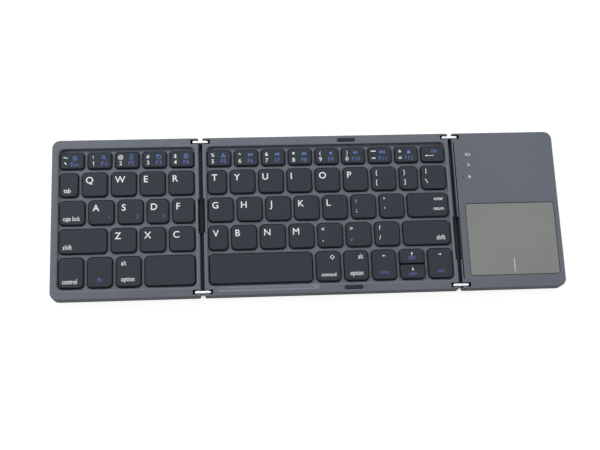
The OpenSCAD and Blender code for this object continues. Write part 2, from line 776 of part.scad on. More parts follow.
module touchpad_board() {
  color("#2f6b45") {
    slab(sensor_z, sensor_z + sensor_t) pad_plan(sensor_reach);
    translate([click_x, click_y, sensor_z - click_h])
      cylinder(r = click_r, h = click_h + overlap);
  }
}

module main_board() {
  color("#2f6b45") {
    block(board_x, board_y, board_z, board_x + board_w, board_y + board_d, board_top_z);
    for (y = guide_ys) translate([guide_x, front_y + y, 0])
      box_at(lamp_w, lamp_d, board_top_z - overlap, board_top_z + lamp_h);
    translate([board_x + board_w / 2, board_y + board_d / 2, 0]) {
      box_at(chip_w, chip_d, board_top_z - overlap, board_top_z + chip_h);
      translate([0, -chip_pitch, 0])
        box_at(small_chip_w, small_chip_w, board_top_z - overlap, board_top_z + small_chip_h);
    }
  }
}

// The battery fills the width between the main board and the free wall.
module battery() {
  y = back_y - long_wall - battery_gap;
  color("#c9ccd2") slab(floor_z, floor_z + battery_t)
    plan_rect(board_x + board_w + battery_board_gap, y - battery_d,
              right_x - right_free_wall - battery_gap, y, battery_r, battery_r);
}

module charge_socket() {
  y1 = back_y - socket_sink;
  w = socket_w / 2;
  z1 = board_top_z + socket_h;
  tongue_z = board_top_z + (socket_h - tongue_t) / 2;
  color("silver") translate([socket_x, 0, 0]) {
    difference() {
      block(-w, y1 - socket_d, board_top_z, w, y1, z1);
      block(socket_wall - w, y1 - socket_d + socket_back, board_top_z + socket_wall,
            w - socket_wall, y1 + cut, z1 - socket_wall);
    }
    block(tongue_inset - w, y1 - socket_d + socket_back - overlap, tongue_z,
          w - tongue_inset, y1 - tongue_sink, tongue_z + tongue_t);
  }
}

module light_guides() {
  color("#dfe6ea") for (y = guide_ys)
    translate([guide_x, front_y + y, board_top_z + lamp_h])
      cylinder(r = guide_r, h = rim_z - guide_sink - board_top_z - lamp_h);
}

module hinge_link() {
  bottom_z = pivot_z - spine_drop - spine_h;
  translate([0, link_y + link_t / 2, 0]) rotate([90, 0, 0]) linear_extrude(link_t)
    difference() {
      union() {
        translate([-pivot_x, pivot_z - link_r]) square([pivot_pitch, 2 * link_r]);
        for (s = [-1, 1]) translate([s * pivot_x, pivot_z]) circle(link_r);
        translate([-spine_w / 2, bottom_z]) square([spine_w, pivot_z - bottom_z]);
      }
      for (s = [-1, 1]) translate([s * pivot_x, pivot_z]) circle(pin_r);
    }
}

module hinge_links(g) {
  color("#e8eaee") translate([g, 0, 0]) both_ends() hinge_link();
}

module spine(g, y, l) {
  z0 = pivot_z - spine_drop - spine_h;
  w = cable_w + passage_clear;
  color("#33363d") translate([g, 0, 0]) difference() {
    union() {
      block(-spine_w / 2, -spine_y, z0, spine_w / 2, spine_y, z0 + spine_h);
      translate([0, y + l / 2, cover_z]) rotate([90, 0, 0]) cylinder(r = cover_r, h = l);
    }
    block(-2 * cover_r, y - w / 2, passage_z, 2 * cover_r, y + w / 2, passage_z + passage_h);
  }
}

module hinge_pins(g) {
  color("#c4c7cc") for (s = [-1, 1]) beside_gap(g, s) both_ends()
    pivot_rod(pin_r, back_y - pin_inset - pin_l, back_y - pin_inset);
}

module flat_cable(g, y) {
  color("#c07a34") translate([g, y, 0])
    box_at(2 * cable_reach, cable_w, membrane_top_z, membrane_top_z + cable_t);
}

module left_hinge_links() { hinge_links(left_gap_x); }
module left_spine() { spine(left_gap_x, left_cover_y, left_cover_l); }
module left_hinge_pins() { hinge_pins(left_gap_x); }
module left_flat_cable() { flat_cable(left_gap_x, left_cover_y); }
module right_hinge_links() { hinge_links(right_gap_x); }
module right_spine() { spine(right_gap_x, right_cover_y, right_cover_l); }
module right_hinge_pins() { hinge_pins(right_gap_x); }
module right_flat_cable() { flat_cable(right_gap_x, right_cover_y); }

// A key is a hollow cap with a flange round its foot and a stem down to its dome.
// c is the cap's low x, low y, high x and high y; front and back are the flange's reach.
module keycap(c, r, front, back, bar) {
  side = key_clear + flange_grip;
  roof_z = key_top_z - key_roof;
  cx = (c[0] + c[2]) / 2;
  difference() {
    union() {
      slab(flange_z, key_top_z) plan_rect(c[0], c[1], c[2], c[3], r, r);
      slab(flange_z, flange_z + flange_t)
        plan_rect(c[0] - side, c[1] - front, c[2] + side, c[3] + back, r, r);
    }
    slab(flange_z - cut, roof_z)
      plan_rect(c[0] + key_wall, c[1] + key_wall, c[2] - key_wall, c[3] - key_wall,
                r - key_wall, r - key_wall);
  }
  translate([cx, (c[1] + c[3]) / 2, stem_z]) cylinder(r = stem_r, h = roof_z - stem_z + overlap);
  if (bar) translate([cx, c[1] - key_clear + bar_inset, 0])
    box_at(bar_l, bar_w, key_top_z - overlap, key_top_z + bar_h);
}

function half_key_d(k) = (k[4] - k[2] - 2 * key_clear - arrow_gap) / 2;
function half_key_y(k, s) = (k[2] + k[4]) / 2 + s * (half_key_d(k) + arrow_gap) / 2;

module keys(name, openings) {
  reach = key_clear + flange_grip;
  color("#3b3f47") for (k = openings) if (k[0] == name)
    keycap([k[1] + key_clear, k[2] + key_clear, k[3] - key_clear, k[4] - key_clear],
           k[5] - key_clear, reach, reach, k[6]);
}

module half_key(s) {
  reach = key_clear + flange_grip;
  color("#3b3f47") for (k = centre_openings) if (k[0] == "arrow_pair") {
    d = half_key_d(k) / 2;
    y = half_key_y(k, s);
    keycap([k[1] + key_clear, y - d, k[3] - key_clear, y + d], half_key_r,
           s < 0 ? reach : 0, s > 0 ? reach : 0, false);
  }
}

module control_key() { keys("control_key", left_openings); }
module fn_key() { keys("fn_key", left_openings); }
module left_option_key() { keys("left_option_key", left_openings); }
module left_space_key() { keys("left_space_key", left_openings); }
module left_shift_key() { keys("left_shift_key", left_openings); }
module letter_keys_zxc() { keys("letter_keys_zxc", left_openings); }
module caps_lock_key() { keys("caps_lock_key", left_openings); }
module letter_keys_asdf() { keys("letter_keys_asdf", left_openings); }
module tab_key() { keys("tab_key", left_openings); }
module letter_keys_qwer() { keys("letter_keys_qwer", left_openings); }
module number_keys_left() { keys("number_keys_left", left_openings); }
module space_bar() { keys("space_bar", centre_openings); }
module command_key() { keys("command_key", centre_openings); }
module right_option_key() { keys("right_option_key", centre_openings); }
module left_arrow_key() { keys("left_arrow_key", centre_openings); }
module up_arrow_key() { half_key(1); }
module down_arrow_key() { half_key(-1); }
module right_arrow_key() { keys("right_arrow_key", centre_openings); }
module letter_keys_lower() { keys("letter_keys_lower", centre_openings); }
module right_shift_key() { keys("right_shift_key", centre_openings); }
module letter_keys_home() { keys("letter_keys_home", centre_openings); }
module enter_key() { keys("enter_key", centre_openings); }
module letter_keys_upper() { keys("letter_keys_upper", centre_openings); }
module number_keys_centre() { keys("number_keys_centre", centre_openings); }

left_deck();
left_bottom_cover();
left_key_plate();
left_membrane();
left_domes();
left_screws();
left_feet();
left_magnets();
centre_deck();
centre_bottom_cover();
centre_key_plate();
centre_membrane();
centre_domes();
centre_screws();
centre_feet();
centre_magnets();
rest_pads();
right_deck();
right_bottom_cover();
touchpad();
touchpad_board();
main_board();
battery();
charge_socket();
light_guides();
right_screws();
right_feet();
right_magnets();
left_hinge_links();
left_spine();
left_hinge_pins();
left_flat_cable();
right_hinge_links();
right_spine();
right_hinge_pins();
right_flat_cable();
control_key();
fn_key();
left_option_key();
left_space_key();
left_shift_key();
letter_keys_zxc();
caps_lock_key();
letter_keys_asdf();
tab_key();
letter_keys_qwer();
number_keys_left();
space_bar();
command_key();
right_option_key();
left_arrow_key();
up_arrow_key();
down_arrow_key();
right_arrow_key();
letter_keys_lower();
right_shift_key();
letter_keys_home();
enter_key();
letter_keys_upper();
number_keys_centre();
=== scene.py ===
"""Looks of a folding keyboard in three panels, with a touchpad on its right wing.

Every shape is worked out in millimetres from the frame's own boxes and made a mesh in metres.
"""

import math

import bmesh
import bpy
import numpy as np
from mathutils import Matrix, Vector


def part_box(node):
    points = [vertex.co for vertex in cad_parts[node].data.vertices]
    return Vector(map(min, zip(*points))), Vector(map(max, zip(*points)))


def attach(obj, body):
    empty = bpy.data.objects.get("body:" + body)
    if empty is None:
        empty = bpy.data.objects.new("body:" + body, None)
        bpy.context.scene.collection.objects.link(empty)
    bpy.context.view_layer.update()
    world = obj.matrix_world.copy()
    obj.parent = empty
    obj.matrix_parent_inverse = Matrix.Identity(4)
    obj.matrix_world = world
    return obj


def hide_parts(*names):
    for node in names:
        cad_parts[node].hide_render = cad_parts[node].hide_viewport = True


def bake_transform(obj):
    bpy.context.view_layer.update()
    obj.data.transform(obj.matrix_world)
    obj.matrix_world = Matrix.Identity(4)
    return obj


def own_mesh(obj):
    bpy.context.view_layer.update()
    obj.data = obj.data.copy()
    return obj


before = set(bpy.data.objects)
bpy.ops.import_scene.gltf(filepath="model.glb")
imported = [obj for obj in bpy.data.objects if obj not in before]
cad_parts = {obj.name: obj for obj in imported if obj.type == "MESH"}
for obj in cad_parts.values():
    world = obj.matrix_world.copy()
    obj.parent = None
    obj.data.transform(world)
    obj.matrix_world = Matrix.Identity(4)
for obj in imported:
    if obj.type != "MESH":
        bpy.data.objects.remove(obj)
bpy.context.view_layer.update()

MM = 0.001

# Casing, in millimetres
RECESS_DEPTH = 1.8
WEB_T = 1.0
PANEL_T = 1.2
LONG_WALL = 5.2
GAP_WALL = 1.9
LEFT_FREE_WALL = 3.4
RIGHT_FREE_WALL = 1.5
INNER_R = 1.0
FREE_CORNER_R = 4.5
GAP_CORNER_R = 1.0
RIM_EDGE_R = 0.5
GAP_EDGE_R = 0.6
BASE_EDGE_R = 0.25
LINE_TOP_Z = 6.9
LINE_LOW_Z = 6.2
LINE_DEPTH = 0.25
TWO_TONE_Z = 4.0
GROOVE_X = 0.5
GROOVE_W = 0.6
GROOVE_DEPTH = 0.6
RECESS_EDGE_R = (0.95, 0.9, 0.95, 0.4)
RECESS_FILLET_R = 0.3
OPENING_EDGE_R = 0.22
SMALL_EDGE_R = 0.15
SEAM = 0.12
FLOOR_T = 1.1
RECESS_MARGINS = (0.33, 0.78, 0.33, 1.78)
RECESS_R = 3.2
TRENCH_CLEAR = 0.3
TRENCH_DEPTH = 0.7
OPENING_R = 2.8
NUMBER_OPENING_R = 2.0
LIP_CREASE_Y = 41.1
LIP_DROP = 0.14
SCOOP_W = 57.0
SCOOP_X = -24.1
SCOOP_REACH = 3.5
SCOOP_DEPTH = 1.5
SCOOP_END = 3.6
SCOOP_OVERLAP = 1.5
SCOOP_RUNOUT = 0.3
SCOOP_TOP_R = 2.0
SCOOP_LIFT = 0.02
SCOOP_FIRST_SHARE = 0.97
SCOOP_RINGS = 14
SCOOP_CORNER_SHARE = 0.4
TRENCH_INSETS = (1.2, 0.25)
TRENCH_R = 0.3
TRENCH_RISE = 0.5
OPENING_OVER = 0.4
WINDOW_OVER = 0.5
LEAST_R = 0.3
LINE_FLOOR = 0.05
GROOVE_R = 0.15

# How far a cutter runs past what it cuts, in millimetres
CUT_OVER = 1.0

# Keys
KEY_CLEAR = 0.35
KEY_SLIM = 0.17
FLANGE_GRIP = 0.3
FLANGE_T = 0.5
KEY_WALL = 0.8
KEY_ROOF = 1.0
KEY_EDGE_R = 0.36
KEY_DRAFT = 0.3
KEY_TOP_INSET = 0.35
KEY_STEM_DROP = 0.3
KEY_ROOF_DRAFT = 0.1
STEM_R = 1.5
DOME_R = 3.2
DOME_BASE_T = 0.3
DOME_STEP = 0.4
RIB_X = 1.05
LETTER_W = 14.95
NARROW_W = 11.4
HOME_END_W = 13.05
END_KEY_W = 15.1
HALF_KEY_R = 1.6
BAR_L = 4.0
BAR_W = 0.6
BAR_INSET = 2.25
BAR_H = 0.15

# Hinges, pads and small openings
LINK_T = 1.65
LINK_SLIM = 0.12
LINK_FLOOR_Z = 3.4
LINK_UPPER_R = 0.8
LINK_LOWER_R = 2.0
LINK_END_R = 0.6
LINK_EDGE_R = 0.36
TONGUE_W = 1.8
PIN_R = 0.8
PIVOT_X = 2.5
PIVOT_Z = 5.7
SLOT_GROW = (1.0, 0.375)
COVERS = {"left": (0.0, 19.0), "right": (-16.5, 24.0)}
COVER_END_CLEAR = 0.5
NOTCH_DEPTH = 0.85
NOTCH_R = 0.2
SLOT_R = 0.3
TONGUE_R = 0.2
SPINE_EDGE_R = 0.18
PIN_CLEAR = 0.05
PIN_BORE_L = 4.15
PAD_CLEAR = 0.3
PAD_R = 1.5
REST_PAD_W = 2.0
REST_PAD_CLEAR = 0.1
REST_PAD_POCKET = 0.6
REST_PAD_EDGE_R = 0.3
REST_POCKET_EDGE_R = 0.1
PAD_FLAT = 0.6
PAD_EDGE_R = 0.22
PAD_LINE_X = -0.3
PAD_LINE_W = 0.28
PAD_LINE_YS = (1.8, 9.3)
GUIDE_YS = (19.25, 26.4, 32.5)
GUIDE_HOLE_R = 0.36
GUIDE_HOLE_EDGE_R = 0.08
GUIDE_R = 0.32
FOOT_R = 3.5
FOOT_CLEAR = 0.15
FOOT_POCKET = 0.3
FOOT_EDGE_R = 0.25
HEAD_R = 1.4
HEAD_CLEAR = 0.1
SCREW_HEAD_TOP_Z = 1.3
SHANK_OVER = 0.2
SHANK_R = 0.7
MAGNET_L = 6.0
MAGNET_W = 1.8
MAGNET_CLEAR = 0.1
MAGNET_COVER = 1.2
MAGNET_POCKET_R = 0.1
CABLE_PASSAGE = (5.5, 1.93)
CABLE_PASSAGE_R = 0.2
CABLE_PASSAGE_OVER = 1.5
CABLE_STATIONS = 25
SOCKET_CLEAR = 0.2
SOCKET_MOUTH_R = 0.3
BOARD_POST_R = 1.5
BOARD_POST_INSET = 2.0
POST_ROOT = 0.2
SWITCH_H = 0.6
CLICK_GAP = 0.35
SUPPORT_X = 10.0
SUPPORT_HALF_W = 3.0
SUPPORT_L = 2.4
SUPPORT_Y = 1.8
SUPPORT_R = 0.3
PILLAR_R = 2.0
PILLAR_Y = 5.0

# Where a deck's faces take another material, the painted shade black among them, and which of a
# link's faces take that black: heights in millimetres, and how level a face is
MASK_SLACK = 0.01
SLOT_MASK_ZS = (3, 7.95)
GROOVE_MASK_ZS = (7.3, 7.98)
GROOVE_FLOOR_Z = 7.6
LEVEL = 0.99
STEEP = 0.5
LINK_SIDE = 0.8

# Printing
INK_T = 0.02
LETTER_H = 3.6
WORD_H = 2.6
WORD_WEIGHT = 0.008
WORD_SPACING = 1.06
SIGN_WEIGHT = 0.01
DIGIT_H = 2.3
SIGN_H = 2.0
ARROW_H = 1.65
LAMP_SIGN = (3.2, 0.9, 1.7)


def box_mm(node):
    """Lowest and highest corner of a CAD node in millimetres."""
    low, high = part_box(node)
    return np.array(low) / MM, np.array(high) / MM


# Shapes


def rings(rows, steps):
    """Points round rectangles with round corners, one rectangle for each row.

    A row is low x, low y, high x, high y, left radius, right radius and z. Each corner is an arc,
    centre + radius * (cos, sin), and the four arcs follow each other counter-clockwise.
    """
    x0, y0, x1, y1, rl, rr, z = np.asarray(rows, float).T[:, :, None]
    turn = np.linspace(0, np.pi / 2, steps + 1)
    corners = [(x1 - rr, y1 - rr, rr), (x0 + rl, y1 - rl, rl),
               (x0 + rl, y0 + rl, rl), (x1 - rr, y0 + rr, rr)]
    angles = [turn + k * np.pi / 2 for k in range(4)]
    xs = np.hstack([cx + r * np.cos(a) for (cx, cy, r), a in zip(corners, angles)])
    ys = np.hstack([cy + r * np.sin(a) for (cx, cy, r), a in zip(corners, angles)])
    return np.stack([xs, ys, np.broadcast_to(z, xs.shape)], axis=-1)


def skin(grid):
    """A closed skin over a grid of rings: faces between neighbours, and a lid on each end."""
    count, around = grid.shape[:2]
    here = np.arange(count * around).reshape(count, around)
    after = np.roll(here, -1, axis=1)
    sides = np.stack([here[:-1], here[1:], after[1:], after[:-1]], axis=-1).reshape(-1, 4)
    return grid.reshape(-1, 3), sides.tolist() + [here[0].tolist(), here[-1][::-1].tolist()]


def shell(rows, steps=6):
    """A closed shell over rounded rectangles that are stacked from the top down."""
    return skin(rings(rows, steps))


def rod(x, z, r, y0, y1, steps=32):
    """A round rod along y: (x + r * cos, y, z + r * sin) at its two ends."""
    turn = np.linspace(0, 2 * np.pi, steps, endpoint=False)
    ends = [np.stack([x + r * np.cos(turn), np.full(steps, y), z + r * np.sin(turn)], axis=-1)
            for y in (y0, y1)]
    return skin(np.array(ends))


def disc(x, y, r, z1, z0, edge=0.0):
    """A round post from z1 down to z0 whose lower edge is rounded by edge."""
    rows = [[x - r, y - r, x + r, y + r, r, r, z1]]
    for up in edge * (1 - np.sin(np.linspace(0, np.pi / 2, 5))):
        s = r - edge_inset(edge, up)
        rows.append([x - s, y - s, x + s, y + s, s, s, z0 + up])
    return shell(rows, 8)


def edge_inset(r, drop):
    """How far a quarter-round edge of radius r lies inside its wall, drop below the face."""
    deep = np.clip(r - np.asarray(drop, float), 0, r)
    return r - np.sqrt(np.maximum(r * r - deep * deep, 0))


def edge_drops(r, steps=6):
    """Depths below the face at which a quarter-round edge turns by equal angles."""
    return r * (1 - np.cos(np.linspace(0, np.pi / 2, steps + 1)))


def grown(box, by):
    """A plan rectangle moved out by one distance, or by its own distance on each side."""
    left, front, right, back = np.broadcast_to(by, 4)
    return [box[0] - left, box[1] - front, box[2] + right, box[3] + back]


def hole(plan, r, z1, z0, face, edge, fillet=0.0):
    """A cutter for a pocket or window: plan widens by a quarter round towards the face.

    The edge's radius is one number, or one for each side. The foot at z0 is drawn in by the fillet
    where the pocket has a floor.
    """
    edge = np.broadcast_to(edge, 4)
    widest = float(edge.mean())
    rows = [[*grown(plan, edge), r + widest, r + widest, z1]]
    for drop in edge_drops(edge.max(), 6):
        out = edge_inset(edge, drop)
        mean = float(out.mean())
        rows.append([*grown(plan, out), r + mean, r + mean, face - drop])
    for up in fillet * (1 - np.sin(np.linspace(0, np.pi / 2, 4))):
        back = -float(edge_inset(fillet, up))
        rows.append([*grown(plan, back), r + back, r + back, z0 + up])
    if not fillet:
        rows.append([*plan, r, r, z0])
    return shell(rows)


def joined(shapes):
    """Several shells as one array of points and one list of faces."""
    starts = np.cumsum([0] + [len(points) for points, faces in shapes])
    points = np.vstack([points for points, faces in shapes])
    faces = [[int(start) + v for v in face]
             for start, shape in zip(starts, shapes) for face in shape[1]]
    return points, faces


def solid(name, shapes):
    """A mesh object in the scene made of closed shells given in millimetres."""
    points, faces = joined(shapes)
    mesh = bpy.data.meshes.new(name)
    mesh.from_pydata((points * MM).tolist(), [], faces)
    obj = bpy.data.objects.new(name, mesh)
    bpy.context.scene.collection.objects.link(obj)
    return obj


def drop_object(obj):
    """Takes a helper object and its mesh out of the file."""
    mesh = obj.data
    bpy.data.objects.remove(obj)
    bpy.data.meshes.remove(mesh)


def carve(obj, *passes):
    """Cuts each pass of closed shells out of obj, or joins them on where it starts with 'add'.

    Where cutters of one pass overlap, the Boolean can return nothing at all, so this stops then.
    """
    for shapes in passes:
        adding = shapes[0] == "add"
        tool = solid("cutter", shapes[1:] if adding else shapes)
        cut = obj.modifiers.new("cut", "BOOLEAN")
        cut.operation = "UNION" if adding else "DIFFERENCE"
        cut.solver = "EXACT"
        cut.object = tool
        graph = bpy.context.evaluated_depsgraph_get()
        made = bpy.data.meshes.new_from_object(obj.evaluated_get(graph))
        if not made.polygons:
            raise RuntimeError("nothing is left of " + obj.name)
        old = obj.data
        obj.modifiers.clear()
        obj.data = made
        bpy.data.meshes.remove(old)
        drop_object(tool)
    return obj


def smooth(obj, angle=38):
    """Smooth shading that keeps flat faces flat and breaks at edges sharper than angle."""
    mesh = obj.data
    mesh.polygons.foreach_set("use_smooth", np.ones(len(mesh.polygons), bool))
    mesh.set_sharp_from_angle(angle=math.radians(angle))
    even = obj.modifiers.new("even normals", "WEIGHTED_NORMAL")
    even.keep_sharp = True
    even.weight = 100
    return obj


def dress(obj, name, material, body, slot, *nodes):
    """Names a finished piece, gives it material and body, and hides what it replaces. Its slot is
    not used.
    """
    obj.name = name
    obj.data.name = name
    if material:
        obj.data.materials.clear()
        obj.data.materials.append(material)
    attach(obj, body)
    if nodes:
        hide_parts(*nodes)
    return obj


def softened(node, width, name, material, body, slot):
    """A copy of a CAD node, merged, with every sharp edge rounded by width."""
    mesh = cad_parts[node].data.copy()
    work = bmesh.new()
    work.from_mesh(mesh)
    bmesh.ops.remove_doubles(work, verts=work.verts, dist=1e-6)
    bmesh.ops.dissolve_limit(work, angle_limit=math.radians(0.5), verts=work.verts,
                             edges=work.edges)
    work.to_mesh(mesh)
    work.free()
    obj = bpy.data.objects.new(name, mesh)
    bpy.context.scene.collection.objects.link(obj)
    bevel = obj.modifiers.new("soft edges", "BEVEL")
    bevel.width = width * MM
    bevel.segments = 2
    bevel.limit_method = "ANGLE"
    bevel.angle_limit = math.radians(40)
    smooth(obj)
    return dress(obj, name, material, body, slot, node)


# Materials


def linear(red, green, blue):
    """An 8-bit display colour as the linear colour that shaders take."""
    c = np.array([red, green, blue]) / 255
    low = c / 12.92
    high = ((c + 0.055) / 1.055) ** 2.4
    return (*np.where(c <= 0.04045, low, high).tolist(), 1.0)


def add(tree, kind, sockets=None, **settings):
    """A new node with its settings. Each named socket takes a value or another node's output."""
    made = tree.nodes.new(kind)
    for key, value in settings.items():
        setattr(made, key, value)
    for key, value in (sockets or {}).items():
        if isinstance(value, bpy.types.NodeSocket):
            tree.links.new(value, made.inputs[key])
        else:
            made.inputs[key].default_value = value
    return made


def maths(tree, operation, a, b):
    """The result of one Math node."""
    return add(tree, "ShaderNodeMath", {0: a, 1: b}, operation=operation).outputs[0]


def new_group(name, inputs, outputs):
    """An empty shader group with named inputs, each with its usual value, and named outputs."""
    group = bpy.data.node_groups.new(name, "ShaderNodeTree")
    for label, value in inputs.items():
        kind = "NodeSocketVector" if value is None else "NodeSocketFloat"
        if isinstance(value, tuple):
            kind = "NodeSocketColor"
        made = group.interface.new_socket(label, in_out="INPUT", socket_type=kind)
        if value is not None:
            made.default_value = value
    for label, kind in outputs.items():
        group.interface.new_socket(label, in_out="OUTPUT", socket_type=kind)
    given = group.nodes.new("NodeGroupInput").outputs
    return group, given, group.nodes.new("NodeGroupOutput").inputs


def moulded_group():
    """Moulded or painted plastic: a fine even grain, and slow soft changes of tone and gloss."""
    inputs = {"Place": None, "Colour": (0.5, 0.5, 0.5, 1.0), "Grain": 2600.0, "Roughness": 0.5,
              "Spread": 0.06}
    outputs = {"Colour": "NodeSocketColor", "Roughness": "NodeSocketFloat",
               "Height": "NodeSocketFloat"}
    group, given, result = new_group("moulded plastic", inputs, outputs)
    fine = add(group, "ShaderNodeTexNoise",
               {"Vector": given["Place"], "Scale": given["Grain"], "Detail": 2.0})
    slow = add(group, "ShaderNodeTexNoise",
               {"Vector": given["Place"], "Scale": 28.0, "Detail": 4.0, "Roughness": 0.6})
    tone = add(group, "ShaderNodeMapRange",
               {"Value": slow.outputs[0], "From Min": 0.3, "From Max": 0.7, "To Min": 0.95,
                "To Max": 1.05})
    speck = add(group, "ShaderNodeMapRange",
                {"Value": fine.outputs[0], "From Min": 0.3, "From Max": 0.7, "To Min": 0.96,
                 "To Max": 1.04})
    both = maths(group, "MULTIPLY", tone.outputs[0], speck.outputs[0])
    shade = add(group, "ShaderNodeVectorMath", {0: given["Colour"], "Scale": both},
                operation="SCALE")
    change = maths(group, "SUBTRACT", slow.outputs[0], 0.5)
    rough = maths(group, "ADD", given["Roughness"],
                  maths(group, "MULTIPLY", change, given["Spread"]))
    group.links.new(shade.outputs[0], result["Colour"])
    group.links.new(rough, result["Roughness"])
    group.links.new(fine.outputs[0], result["Height"])
    return group


def drawn_group():
    """Drawn or ground metal: fine lines along y, and a faint haze that changes the gloss."""
    inputs = {"Place": None, "Lines": 5000.0, "Roughness": 0.25, "Spread": 0.15}
    outputs = {"Roughness": "NodeSocketFloat", "Height": "NodeSocketFloat"}
    group, given, result = new_group("drawn metal", inputs, outputs)
    stretched = add(group, "ShaderNodeVectorMath", {0: given["Place"], 1: (1.0, 0.04, 1.0)},
                    operation="MULTIPLY")
    lines = add(group, "ShaderNodeTexNoise",
                {"Vector": stretched.outputs[0], "Scale": given["Lines"], "Detail": 3.0})
    haze = add(group, "ShaderNodeTexNoise",
               {"Vector": given["Place"], "Scale": 160.0, "Detail": 3.0})
    mixed = maths(group, "MULTIPLY", lines.outputs[0], haze.outputs[0])
    rough = maths(group, "ADD", given["Roughness"],
                  maths(group, "MULTIPLY", mixed, given["Spread"]))
    group.links.new(rough, result["Roughness"])
    group.links.new(lines.outputs[0], result["Height"])
    return group


def board_group():
    """Circuit board: copper tracks under the lacquer, from two crossed sets of stepped bands."""
    inputs = {"Place": None, "Lacquer": (0.02, 0.1, 0.05, 1.0), "Copper": (0.05, 0.2, 0.1, 1.0)}
    outputs = {"Colour": "NodeSocketColor", "Height": "NodeSocketFloat"}
    group, given, result = new_group("circuit tracks", inputs, outputs)
    cells = add(group, "ShaderNodeTexBrick",
                {"Vector": given["Place"], "Color1": (1, 1, 1, 1), "Color2": (1, 1, 1, 1),
                 "Mortar": (0, 0, 0, 1), "Scale": 420.0, "Mortar Size": 0.06}, offset=0.37)
    mask = maths(group, "SUBTRACT", 1.0, cells.outputs["Fac"])
    shade = add(group, "ShaderNodeMix", {0: mask, 6: given["Copper"], 7: given["Lacquer"]},
                data_type="RGBA")
    group.links.new(shade.outputs[2], result["Colour"])
    group.links.new(cells.outputs["Fac"], result["Height"])
    return group


MOULDED = moulded_group()
DRAWN = drawn_group()
TRACKS = board_group()


def new_material(name, **plain):
    """A material with its shader, whose plain values sit on the shader's own sockets."""
    material = bpy.data.materials.new(name)
    material.use_nodes = True
    shader = material.node_tree.nodes["Principled BSDF"]
    for key, value in plain.items():
        shader.inputs[key.replace("_", " ")].default_value = value
    return material, material.node_tree, shader


def place_in(tree):
    """Where on the piece a point lies, in the row frame."""
    return add(tree, "ShaderNodeTexCoord").outputs["Object"]


def bump(tree, shader, height, distance):
    """Lets a height in millimetres tilt the surface."""
    made = add(tree, "ShaderNodeBump",
               {"Height": height, "Distance": distance * MM, "Strength": 1.0})
    tree.links.new(made.outputs[0], shader.inputs["Normal"])


def plastic(name, colour, roughness, grain=2600.0, depth=0.01, spread=0.12, **plain):
    """A moulded finish of one colour."""
    material, tree, shader = new_material(name, **plain)
    group = add(tree, "ShaderNodeGroup", node_tree=MOULDED)
    tree.links.new(place_in(tree), group.inputs["Place"])
    group.inputs["Colour"].default_value = linear(*colour)
    group.inputs["Grain"].default_value = grain
    group.inputs["Roughness"].default_value = roughness
    group.inputs["Spread"].default_value = spread
    tree.links.new(group.outputs["Colour"], shader.inputs["Base Color"])
    tree.links.new(group.outputs["Roughness"], shader.inputs["Roughness"])
    bump(tree, shader, group.outputs["Height"], depth)
    return material


def metal(name, colour, roughness, lines=5000.0):
    """A metal finish of one colour."""
    material, tree, shader = new_material(name, Base_Color=linear(*colour), Metallic=1.0)
    group = add(tree, "ShaderNodeGroup", node_tree=DRAWN)
    tree.links.new(place_in(tree), group.inputs["Place"])
    group.inputs["Lines"].default_value = lines
    group.inputs["Roughness"].default_value = roughness
    group.inputs["Spread"].default_value = 0.15
    tree.links.new(group.outputs["Roughness"], shader.inputs["Roughness"])
    bump(tree, shader, group.outputs["Height"], 0.002)
    return material


def circuit_board():
    """Green lacquer over copper tracks."""
    material, tree, shader = new_material("circuit board", Roughness=0.3, Coat_Weight=0.4)
    group = add(tree, "ShaderNodeGroup",
                {"Lacquer": linear(20, 74, 46), "Copper": linear(52, 118, 70)}, node_tree=TRACKS)
    tree.links.new(place_in(tree), group.inputs["Place"])
    tree.links.new(group.outputs["Colour"], shader.inputs["Base Color"])
    bump(tree, shader, group.outputs["Height"], 0.02)
    return material


CASING = plastic("slate casing", (89, 94, 104), 0.42, grain=2800.0, depth=0.008,
                 Specular_IOR_Level=0.5)
CASING_WALL = plastic("casing wall", (92, 97, 107), 0.5, grain=2800.0, depth=0.008,
                      Specular_IOR_Level=0.1)
BASE = plastic("dark base", (56, 58, 63), 0.55, grain=1500.0, depth=0.03, Specular_IOR_Level=0.1)
KEY = plastic("charcoal key", (44, 50, 57), 0.6, grain=3200.0, depth=0.014, spread=0.2,
              Specular_IOR_Level=0.2)
# Painted shade: a near black laid on the link slots, the grooves, the line round the outer walls
# and the links' sides, where only shade falls.
PAINTED_SHADE_BLACK = plastic("painted shade black", (16, 18, 21), 0.6, Specular_IOR_Level=0.15)
SPINE = plastic("spine plastic", (56, 60, 68), 0.6, Specular_IOR_Level=0.15)
PAD = plastic("touch surface", (128, 130, 127), 0.42, grain=4200.0, depth=0.006, spread=0.2,
              Specular_IOR_Level=0.35)
RUBBER = plastic("rubber", (34, 37, 42), 0.75, grain=1800.0, depth=0.03, Specular_IOR_Level=0.25)
DOME = plastic("dome silicone", (206, 206, 198), 0.45, Subsurface_Weight=0.3,
               Subsurface_Scale=0.001)
FILM = plastic("membrane film", (180, 198, 188), 0.3, Coat_Weight=0.5)
CABLE = plastic("cable film", (160, 98, 44), 0.3, Coat_Weight=0.3)
GUIDE = plastic("light guide", (24, 27, 31), 0.3, Specular_IOR_Level=0.2)
WHITE_INK = plastic("white ink", (232, 236, 240), 0.5, grain=5200.0, depth=0.004)
BLUE_INK = plastic("blue ink", (80, 92, 156), 0.5, grain=5200.0, depth=0.004)
SKY_INK = plastic("light blue ink", (92, 124, 198), 0.5, grain=5200.0, depth=0.004)
LINK = metal("polished link", (228, 229, 232), 0.3)
PIN = metal("pin steel", (172, 174, 178), 0.3)
SCREW = metal("screw steel", (132, 134, 138), 0.32)
PLATE = metal("rolled plate", (168, 170, 172), 0.3, lines=2500.0)
FOIL = metal("battery foil", (200, 203, 208), 0.28, lines=1500.0)
SOCKET = metal("socket metal", (182, 184, 188), 0.25)
MAGNET = metal("nickel", (190, 190, 192), 0.2)
BOARD = circuit_board()

